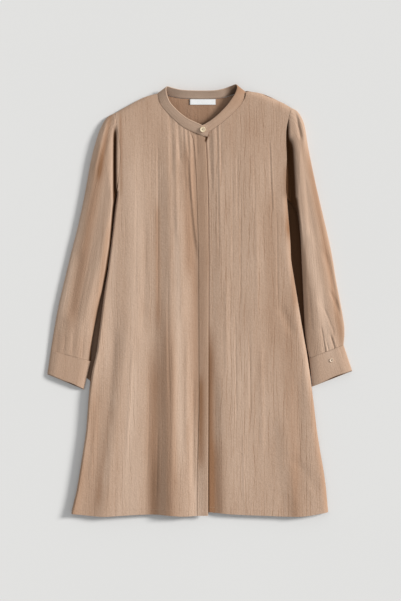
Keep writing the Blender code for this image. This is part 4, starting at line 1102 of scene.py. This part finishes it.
def flat_tube(name, surface, length, shares, rise, dome, folds, tucks, shade, tones, relief,
              wall, middle, finish, lip=0.0, opening=SHUT):
    """Flattened tube of cloth: crowned above, its underside flat on the surface.

    The underside reaches beyond the last ring by the lip, and the upper side falls short of it
    by the opening's depth."""
    outer, inner, grain, painted_shade, tone = [], [], [], [], []
    for share in shares:
        ends = surface(np.array([0.0, 1.0]), np.array([share, share]))
        width = float(np.linalg.norm(ends[1] - ends[0]))
        side = SIDE_STEPS / width
        across = np.concatenate([side, np.linspace(side[-1], 1 - side[-1], middle + 2)[1:-1],
                                 1 - side[::-1]])
        places = surface(across, np.full(across.shape, share))
        x, y = places[:, 0], places[:, 1]
        far = np.minimum(across, 1 - across) * width
        full = rise(share)
        low = full * SIDE_SHARE
        tucked = fold_lift(tucks, x, y) * smooth(far / 12.0 + 0.1)
        lift = fold_lift(folds, x, y) * smooth(far / 12.0) + tucked
        lift = lift + relief(across * width, share * length) * smooth(far / 8.0)
        z = np.maximum(low + (full - low) * crown(far, dome(share)) + lift, 2 * wall + 1.2)
        turn_in = SIDE_TUCK * (1 - np.cos(SIDE_TURNS)) / width
        turn_z = 1 - np.sin(SIDE_TURNS)
        base = np.linspace(1 - SIDE_TUCK / width, SIDE_TUCK / width, 14)[1:-1]
        ring_across = np.concatenate([across, 1 - turn_in, base, turn_in[::-1]])
        ring_z = np.concatenate([z, z[-1] * turn_z, np.zeros(len(base)), z[0] * turn_z[::-1]])
        ring = np.column_stack([surface(ring_across, np.full(ring_across.shape, share)), ring_z])
        onward = unit(ring[:, :2] - surface(ring_across, np.full(ring_across.shape, share - 0.01)))
        near = float(smooth((share - LIP_START) / (1 - LIP_START)))
        lower = np.where(np.arange(len(ring)) < len(across), 0.0, 1.0)
        gape = np.exp(-((ring_across - opening.middle) / opening.half) ** 2)
        reach = near * (lower * lip - (1 - lower) * opening.depth * gape)
        ring[:, :2] += onward * reach[:, None]
        sideways = np.append((ends[1] - ends[0]) / width, 0.0)
        run = np.roll(ring, -1, axis=0) - np.roll(ring, 1, axis=0)
        out = unit(np.outer(-run[:, 2], sideways) + np.outer(run @ sideways, [0, 0, 1.0]))
        outer.append(ring)
        inner.append(ring - out * wall)
        grain.append(np.column_stack([ring_across * width, np.full(len(ring), share * length),
                                      np.zeros(len(ring))]))
        # Painted shade in the slit beside the body and in the tucks, and inside the cuff's open
        # end.
        dark = shade(ring[:, 0], ring[:, 1])
        dark[:len(tucked)] = np.maximum(dark[:len(tucked)], smooth(-tucked / TUCK_DEEPEST))
        inside = lower * (0.9 if 0 < near < 1 else 0.0) * (0.35 + 0.65 * gape)
        painted_shade.append(np.maximum(dark, inside * (lip > 0)))
        tone.append(fold_lift(tones, ring[:, 0], ring[:, 1]))
    return tube(name, *(np.array(rings) for rings in (outer, inner, grain, painted_shade, tone)), finish)


def make_sleeve(arm):
    armhole = [Point(p.x + arm.way * SLEEVE_SEAM, p.y) for p in arm.armhole[::-1][1:-1]]
    head = [arm.outer[0]] + armhole + [arm.inner[0]]
    wrist = [arm.outer[-1], arm.inner[-1]]
    surface = patch(curve(arm.outer), curve(arm.inner), curve(head), curve(wrist))
    body_edge = arm.side + arm.armhole[1:]

    def rise(share):
        return float(look_up(SLEEVE_RISE, "share", share, "height"))

    def dome(share):
        return float(np.interp(share, [0.0, 0.04, 0.25], [HEAD_DOME, HEAD_DOME, SLEEVE_DOME]))

    def relief(across, along):
        return crinkle(across, np.full(np.shape(across), along), arm.seed, SLEEVE_CRINKLE)

    # Painted shade of the slit beside the body.
    def shade(x, y):
        solid, soft = (look_up(arm.gaps, "y", y, name) for name in ("solid", "soft"))
        return 1 - smooth((distance_to(body_edge, x, y) - solid) / soft)
    return flat_tube(f"sleeve_{arm.name}_cloth", surface, SLEEVE_LENGTH,
                     spread((0.03, 8), (0.12, 18), (0.80, 70), (1.0, 34)), rise, dome, arm.folds,
                     arm.tucks, shade, arm.tones, relief, THIN, 84, SOFT_CLOTH)


def cuff_surface(arm):
    start = [Point(p.x, p.y - CUFF_DROP) for p in (arm.outer[-1], arm.inner[-1])]
    return patch(curve([start[0], arm.corners[0]]), curve([start[1], arm.corners[1]]),
                 curve(start), curve(arm.corners))


def make_cuff(arm):
    """Cuff from just below the sleeve's end to the wrist edge."""
    def relief(across, along):
        return crinkle(across, np.full(np.shape(across), along), arm.seed + 40, CUFF_CRINKLE)

    def rise(share):
        edge = min(share, 1 - share) * CUFF_DEPTH
        return CUFF_LOFT - 0.6 * float(1 - round_up(edge / 1.6))
    return flat_tube(f"cuff_{arm.name}_cloth", cuff_surface(arm), CUFF_DEPTH,
                     spread((0.03, 4), (0.97, 22), (1.0, 4)), rise, lambda share: CUFF_DOME, [], [],
                     lambda x, y: np.zeros(np.shape(x)), arm.tones, relief, STRIP_WALL, 40,
                     PLAIN_CLOTH, CUFF_LIP, arm.opening)


# ---- band ----------------------------------------------------------------------------------
BAND_ACROSS = np.array([0.0, 0.02, 0.05, 0.10, 0.16, 0.25, 0.35, 0.45, 0.55, 0.65, 0.75, 0.84,
                        0.90, 0.95, 0.98, 1.0])


def band_frame(count):
    """Sewn edge, free edge and outward direction of the band at places along it."""
    places = curve(BAND)(np.linspace(0.0, 1.0, count))
    seam, top = places[:, :3], places[:, 3:]
    out = -np.cross(np.gradient((seam + top) / 2, axis=0), top - seam)
    return seam, top, out / np.linalg.norm(out, axis=1)[:, None]


def band_place(seam, top, out, share, side):
    """Place on the band's face: share across it, side 1 outside and -1 inside."""
    edge = min(share, 1 - share) * float(np.linalg.norm(top - seam))
    half = PRESSED / 2 * (0.35 + 0.65 * float(round_up(edge / 1.3)))
    return seam + (top - seam) * share + out * (BAND_CROWN * 4 * share * (1 - share) + side * half)


def make_band():
    """Stand band: a pressed strip once round the neck.

    Its outer face gets painted shade where it stands up in the light, and its inner face painted
    light, with painted shade towards the wearer's left shoulder."""
    rings = np.array([[band_place(*frames, share, 1) for share in BAND_ACROSS]
                      + [band_place(*frames, share, -1) for share in BAND_ACROSS[::-1]]
                      for frames in zip(*band_frame(BAND_RINGS))])
    width = rings.shape[1]
    far = np.concatenate([BAND_ACROSS, BAND_ACROSS[::-1]]) * BAND_DEPTH
    grain = np.dstack([*np.meshgrid(far, np.linspace(0, BAND_LENGTH, BAND_RINGS)),
                       np.zeros((BAND_RINGS, width))])
    faces = ring_faces(BAND_RINGS, width).tolist()
    for start, flip in ((0, 1), ((BAND_RINGS - 1) * width, -1)):
        for k in range(width // 2 - 1):
            faces.append([start + k, start + k + 1, start + width - 2 - k,
                          start + width - 1 - k][::flip])
    places = rings.reshape(-1, 3)
    x, y = places[:, 0], places[:, 1]
    outside = np.tile(np.arange(width) < width // 2, BAND_RINGS)
    # Painted light and shade on the band's outer face; painted light and painted shade on its inner
    # face.
    lit = -look_up(BAND_PAINTED_SHADE, "y", y, "share")
    face = BAND_PAINTED_LIGHT + (lit - BAND_PAINTED_LIGHT) * smooth((x - 8) / 22)
    tone = np.where(outside, face, 1.0 - 0.45 * smooth((x - 5) / 35))
    painted_shade = np.where(outside, 0.0, 0.80 * smooth((x - 50) / 22))
    return new_piece("neck_band", places, faces, grain.reshape(-1, 3), painted_shade, tone, PLAIN_CLOTH)


# ---- buttons -------------------------------------------------------------------------------
def turned(profile, sides):
    """Closed turned form from (radius, height) rows."""
    made = bmesh.new()
    rings = []
    for r, z in profile:
        count = sides if r else 1
        turn = 2 * math.pi / count
        rings.append([made.verts.new((r * MM * math.cos(turn * k), r * MM * math.sin(turn * k),
                                      z * MM)) for k in range(count)])
    for a, b in zip(rings[:-1], rings[1:]):
        for k in range(sides):
            m = k + 1
            corners = [a[k % len(a)], a[m % len(a)], b[m % len(b)], b[k % len(b)]]
            made.faces.new(list(dict.fromkeys(corners)))
    bmesh.ops.recalc_face_normals(made, faces=made.faces)
    return made


def settled(piece, name):
    """The piece's finished mesh as a new object at the origin."""
    bpy.context.view_layer.update()
    graph = bpy.context.evaluated_depsgraph_get()
    mesh = bpy.data.meshes.new_from_object(piece.evaluated_get(graph), depsgraph=graph)
    mesh.name = name
    bpy.data.objects.remove(piece, do_unlink=True)
    return show(name, mesh)


def link_mesh(name, work, finish):
    mesh = bpy.data.meshes.new(name)
    work.to_mesh(mesh)
    work.free()
    mesh.materials.append(finish)
    return show(name, mesh)


def make_button(name, diameter, place, normal, finish, thread_finish):
    """Button with a raised rim and four holes, sewn on with thread."""
    radius, thick = diameter / 2, BUTTON_THICK
    rim = [(radius * (0.95 + 0.05 * math.sin(a)), thick * (0.55 - 0.45 * math.cos(a)))
           for a in np.linspace(0, math.pi, 9)]
    dish = [(radius * 0.82, thick), (radius * 0.72, thick * 0.90), (radius * 0.64, thick * 0.76),
            (radius * 0.55, thick * BUTTON_DISH), (0.0, thick * BUTTON_DISH)]
    profile = [(0.0, 0.0), (radius * 0.80, 0.0)] + rim + dish
    button = link_mesh(name + "_blank", turned(profile, 64), finish)
    cutters = bmesh.new()
    reach = radius * HOLE_REACH * MM
    turns = [math.pi / 4 + k * math.pi / 2 for k in range(4)]
    for angle in turns:
        hole = bmesh.ops.create_cone(cutters, cap_ends=True, segments=20,
                                     radius1=BUTTON_HOLE / 2 * MM, radius2=BUTTON_HOLE / 2 * MM,
                                     depth=4 * thick * MM)
        bmesh.ops.translate(cutters, verts=hole["verts"],
                            vec=(reach * math.cos(angle), reach * math.sin(angle), 0))
    cutter = link_mesh(name + "_cutter", cutters, finish)
    cut = button.modifiers.new("holes", "BOOLEAN")
    cut.object = cutter
    cut.solver = "EXACT"
    made = settled(button, name)
    bpy.data.objects.remove(cutter, do_unlink=True)
    smooth_mesh(made.data, 40)
    threads = button_thread(name + "_thread", reach, turns, thread_finish)
    turn = Vector(normal).to_track_quat("Z", "Y").to_matrix().to_4x4()
    lift = Matrix.Translation(Vector(to_frame(np.array(place) + np.array(normal) * SEAM)))
    for piece in (made, threads):
        piece.data.transform(lift @ turn)
    return made, threads


def button_thread(name, reach, turns, finish):
    """Two crossing runs of thread through the holes."""
    bars = bpy.data.curves.new(name, "CURVE")
    bars.dimensions = "3D"
    bars.bevel_depth = BUTTON_THREAD * MM
    bars.bevel_resolution = 3
    bars.use_fill_caps = True
    top = BUTTON_THICK * BUTTON_DISH * MM
    for pair in ((0, 2), (1, 3)):
        a, b = turns[pair[0]], turns[pair[1]]
        for shift in (-THREAD_SHIFT * MM, THREAD_SHIFT * MM):
            line = bars.splines.new("POLY")
            line.points.add(8)
            for k, t in enumerate(np.linspace(0, 1, 9)):
                x = reach * (math.cos(a) * (1 - t) + math.cos(b) * t) - shift * math.sin(a)
                y = reach * (math.sin(a) * (1 - t) + math.sin(b) * t) + shift * math.cos(a)
                z = top - 0.0006 + 0.0011 * (4 * t * (1 - t)) ** 0.5 + 0.0003 * pair[0]
                line.points[k].co = (x, y, z, 1)
    bars.materials.append(finish)
    made = settled(show(name + "_run", bars), name)
    made.data.shade_smooth()
    return made


# ---- stitches ------------------------------------------------------------------------------
def make_stitch_tree():
    """Evenly spaced stitches along a line of points that know which way is out."""
    tree = bpy.data.node_groups.new("running_stitch", "GeometryNodeTree")
    new_socket(tree, "Geometry", "INPUT", "Geometry")
    for label, value in (("Stitch", STITCH), ("Gap", STITCH_GAP), ("Thickness", THREAD)):
        new_socket(tree, label, "INPUT", "Float", value * MM)
    new_socket(tree, "Thread", "INPUT", "Material")
    new_socket(tree, "Geometry", "OUTPUT", "Geometry")
    given = add_node(tree, "NodeGroupInput")
    line = given.add("GeometryNodeMeshToCurve", {"Mesh": given})
    even = given.add("GeometryNodeResampleCurve",
                     {"Curve": line, "Length": given["Stitch"] + given["Gap"]}, mode="LENGTH")
    out = given.add("GeometryNodeInputNamedAttribute", {"Name": "out"}, data_type="FLOAT_VECTOR")
    laid = given.add("FunctionNodeAlignRotationToVector",
                     {"Vector": given.add("GeometryNodeInputTangent")}, axis="X")
    turned_out = given.add("FunctionNodeAlignRotationToVector", {"Rotation": laid, "Vector": out},
                           axis="Z", pivot_axis="X")
    bead = given.add("GeometryNodeMeshUVSphere", {"Segments": 6, "Rings": 5, "Radius": 0.5})
    size = given.add("ShaderNodeCombineXYZ", {"X": given["Stitch"], "Y": given["Thickness"] * 1.15,
                                              "Z": given["Thickness"]})
    stitch = given.add("GeometryNodeTransform", {"Geometry": bead, "Scale": size})
    sewn = given.add("GeometryNodeInstanceOnPoints", {"Points": even, "Instance": stitch,
                                                      "Rotation": turned_out})
    real = given.add("GeometryNodeRealizeInstances", {"Geometry": sewn})
    smooth_shade = given.add("GeometryNodeSetShadeSmooth", {"Geometry": real})
    coloured = given.add("GeometryNodeSetMaterial", {"Geometry": smooth_shade,
                                                     "Material": given["Thread"]})
    fill(tree.nodes.new("NodeGroupOutput"), {"Geometry": coloured})
    return tree


STITCH_TREE = make_stitch_tree()


def sew(name, slot_name, lines, finish, stitch=STITCH, gap=STITCH_GAP, thick=THREAD):
    """Rows of stitches along lines of (places, outward direction)."""
    points, edges, outs = [], [], []
    for places, out in lines:
        start = len(points)
        points += to_frame(places).tolist()
        outs += np.broadcast_to(out, (len(places), 3)).tolist()
        edges += [(start + k, start + k + 1) for k in range(len(places) - 1)]
    mesh = bpy.data.meshes.new(name)
    mesh.from_pydata(points, edges, [])
    hold(mesh, "out", outs, "FLOAT_VECTOR")
    piece = show(name + "_lines", mesh)
    grown = piece.modifiers.new("stitches", "NODES")
    grown.node_group = STITCH_TREE
    values = {"Stitch": stitch * MM, "Gap": gap * MM, "Thickness": thick * MM, "Thread": finish}
    for item in STITCH_TREE.interface.items_tree:
        if item.item_type == "SOCKET" and item.in_out == "INPUT" and item.name in values:
            grown[item.identifier] = values[item.name]
    return dress(settled(piece, name), slot_name)


def surface_line(x, y, height):
    """Places on a front's cloth with their outward direction."""
    run_x, run_y = slopes(height, x, y, 1.0)
    out = np.column_stack([-run_x, -run_y, np.ones(len(x))])
    out /= np.linalg.norm(out, axis=1)[:, None]
    return np.column_stack([x, y, height(x, y)]) + out * STITCH_RISE, out


def placket_stitches():
    down = np.linspace(0.012, 0.995, 240)
    x, y = placket_place(np.full(down.shape, 0.0), down)
    return surface_line(x + EDGE_STITCH, y, placket_height)


def hem_stitches(start, end, hem, height):
    x = np.linspace(start, end, 160)
    return surface_line(x, look_up(hem, "x", x, "y") + HEM_DEPTH - 1.5, height)


def band_stitches(share):
    frames = band_frame(BAND_RINGS)
    places = np.array([band_place(*at, share, 1) for at in zip(*frames)])
    out = frames[2]
    return (places + out * STITCH_RISE)[5:-3], out[5:-3]


def cuff_stitches(arm, share):
    surface = cuff_surface(arm)
    across = np.linspace(0.10, 0.90, 60)
    ends = surface(np.array([0.0, 1.0]), np.array([share, share]))
    far = np.minimum(across, 1 - across) * float(np.linalg.norm(ends[1] - ends[0]))
    low = CUFF_LOFT * SIDE_SHARE
    z = low + (CUFF_LOFT - low) * crown(far, CUFF_DOME)
    return np.column_stack([surface(across, np.full(across.shape, share)), z + STITCH_RISE]), UP


def label_stitches(side):
    half = LABEL_HEIGHT / 2 - 0.3
    y = np.linspace(LABEL_CENTRE.y - half, LABEL_CENTRE.y + half, 20)
    x = np.full(y.shape, LABEL_CENTRE.x + side * (LABEL_WIDTH / 2 - 0.7))
    return np.column_stack([x, y, np.full(y.shape, CLOTH + LABEL_THICK + 0.3)]), UP


# ---- label ---------------------------------------------------------------------------------
def make_label():
    """Bare woven tape with folded ends."""
    u, v = np.meshgrid(np.linspace(-0.5, 0.5, 61), np.linspace(0.5, -0.5, 17))
    low = np.full(u.shape, CLOTH + SEAM + 0.2)
    edge = np.minimum(0.5 - np.abs(u), 1) * LABEL_WIDTH
    high = low + (LABEL_THICK * (0.45 + 0.35 * smooth(edge / 3.0)) + 0.12 * np.sin(u * 9.0))
    none = np.zeros(u.shape)
    return shell("neck_label", LABEL_CENTRE.x + u * LABEL_WIDTH, LABEL_CENTRE.y + v * LABEL_HEIGHT,
                 high, low, none, none, TAPE)


# ---- the garment ---------------------------------------------------------------------------
def dress(piece, slot_name, *nodes):
    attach(piece, "root")
    if nodes:
        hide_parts(*nodes)
    return piece


back = dress(make_back(), "cloth", "back")
front_right = dress(make_front_right(), "cloth", "front_right")
front_left = dress(make_front_left(), "cloth", "front_left")
placket = dress(make_placket(), "cloth", "placket")
band = dress(make_band(), "cloth", "collar_band")
sleeve_right, sleeve_left = [
    dress(make_sleeve(arm), "cloth", f"sleeve_{arm.name}_top", f"sleeve_{arm.name}_under")
    for arm in (RIGHT_ARM, LEFT_ARM)]
cuff_right, cuff_left = [dress(make_cuff(arm), "cloth", f"cuff_{arm.name}")
                         for arm in (RIGHT_ARM, LEFT_ARM)]
label = dress(make_label(), "label", "label")


def neck_button_place():
    row = BAND[1]
    seam = np.array([row.seam_x, row.seam_y, row.seam_z])
    across = np.array([row.top_x, row.top_y, row.top_z]) - seam
    out = np.cross(np.array([1.0, 0.0, 0.0]), across)
    out /= np.linalg.norm(out)
    return seam + across * BUTTON_SHARE + out * (PRESSED / 2 + BAND_CROWN), out


neck_place, neck_out = neck_button_place()
neck_button, neck_thread = make_button("neck_button", NECK_BUTTON, neck_place, neck_out, HORN,
                                       THREAD_CREAM)
cuff_button, cuff_thread = make_button("cuff_button", CUFF_BUTTON,
                                       (*CUFF_BUTTON_PLACE, CUFF_LOFT - 1.0), UP,
                                       DYED_HORN, THREAD_TAUPE)
dress(neck_button, "neck_button", "button_collar")
dress(neck_thread, "neck_button")
dress(cuff_button, "cuff_button", "button_cuff")
dress(cuff_thread, "cuff_button")

hem_right = hem_stitches(HEM_RIGHT[0].x + 8, HEM_RIGHT[-1].x - 1, HEM_RIGHT, right_height)
hem_left = hem_stitches(placket_x("free", 10.0) + 2, HEM_LEFT[-1].x - 8, HEM_LEFT, left_height)
sewn_right = sew("front_right_stitches", "cloth", [hem_right], THREAD_TAUPE)
sewn_left = sew("front_left_stitches", "cloth", [hem_left], THREAD_TAUPE)
sewn_placket = sew("placket_stitches", "cloth", [placket_stitches()], THREAD_TAUPE)
sewn_band = sew("band_stitches", "cloth", [band_stitches(0.10), band_stitches(0.90)],
                THREAD_TAUPE)
sewn_cuffs = [
    sew(f"cuff_{arm.name}_stitches", "cloth",
        [cuff_stitches(arm, EDGE_STITCH / CUFF_DEPTH),
         cuff_stitches(arm, 1 - EDGE_STITCH / CUFF_DEPTH)], THREAD_TAUPE)
    for arm in (RIGHT_ARM, LEFT_ARM)]
label_ends = [
    sew("label_stitches_right", "label", [label_stitches(-1)], THREAD_BROWN, 1.8, 0.1, 1.5),
    sew("label_stitches_left", "label", [label_stitches(1)], THREAD_TAUPE, 1.0, 0.2, 0.45)]


# ---- floor, light and camera ---------------------------------------------------------------
def make_floor():
    bpy.ops.mesh.primitive_plane_add(size=12.0, location=(0, 0, -0.0002))
    floor = bpy.context.object
    floor.name = "floor"
    floor.data.materials.append(new_material("pale_board", board))


def make_lights():
    """Broad light from the wearer's left, low enough to model the folds, in a pale room."""
    sun = bpy.data.lights.new("window", "SUN")
    sun.energy = SUN_STRENGTH
    sun.angle = math.radians(SUN_SPREAD)
    sun.color = SUN_COLOUR
    turn = Vector(SUN_TOWARDS).to_track_quat("Z", "Y")
    show("window", sun).rotation_euler = turn.to_euler()
    world = bpy.data.worlds.new("room")
    world.use_nodes = True
    back_light = world.node_tree.nodes["Background"]
    fill(back_light, {"Color": ROOM_COLOUR, "Strength": ROOM_STRENGTH})
    bpy.context.scene.world = world


def make_camera():
    lens = bpy.data.cameras.new("overhead")
    lens.sensor_width = SENSOR
    lens.lens = SENSOR * CAMERA_HEIGHT / SHOWN_LENGTH
    camera = show("overhead", lens)
    camera.location = (CAMERA_X, CAMERA_Y, CAMERA_HEIGHT)
    bpy.context.scene.camera = camera


make_floor()
make_lights()
make_camera()
bpy.context.scene.view_settings.view_transform = "Standard"
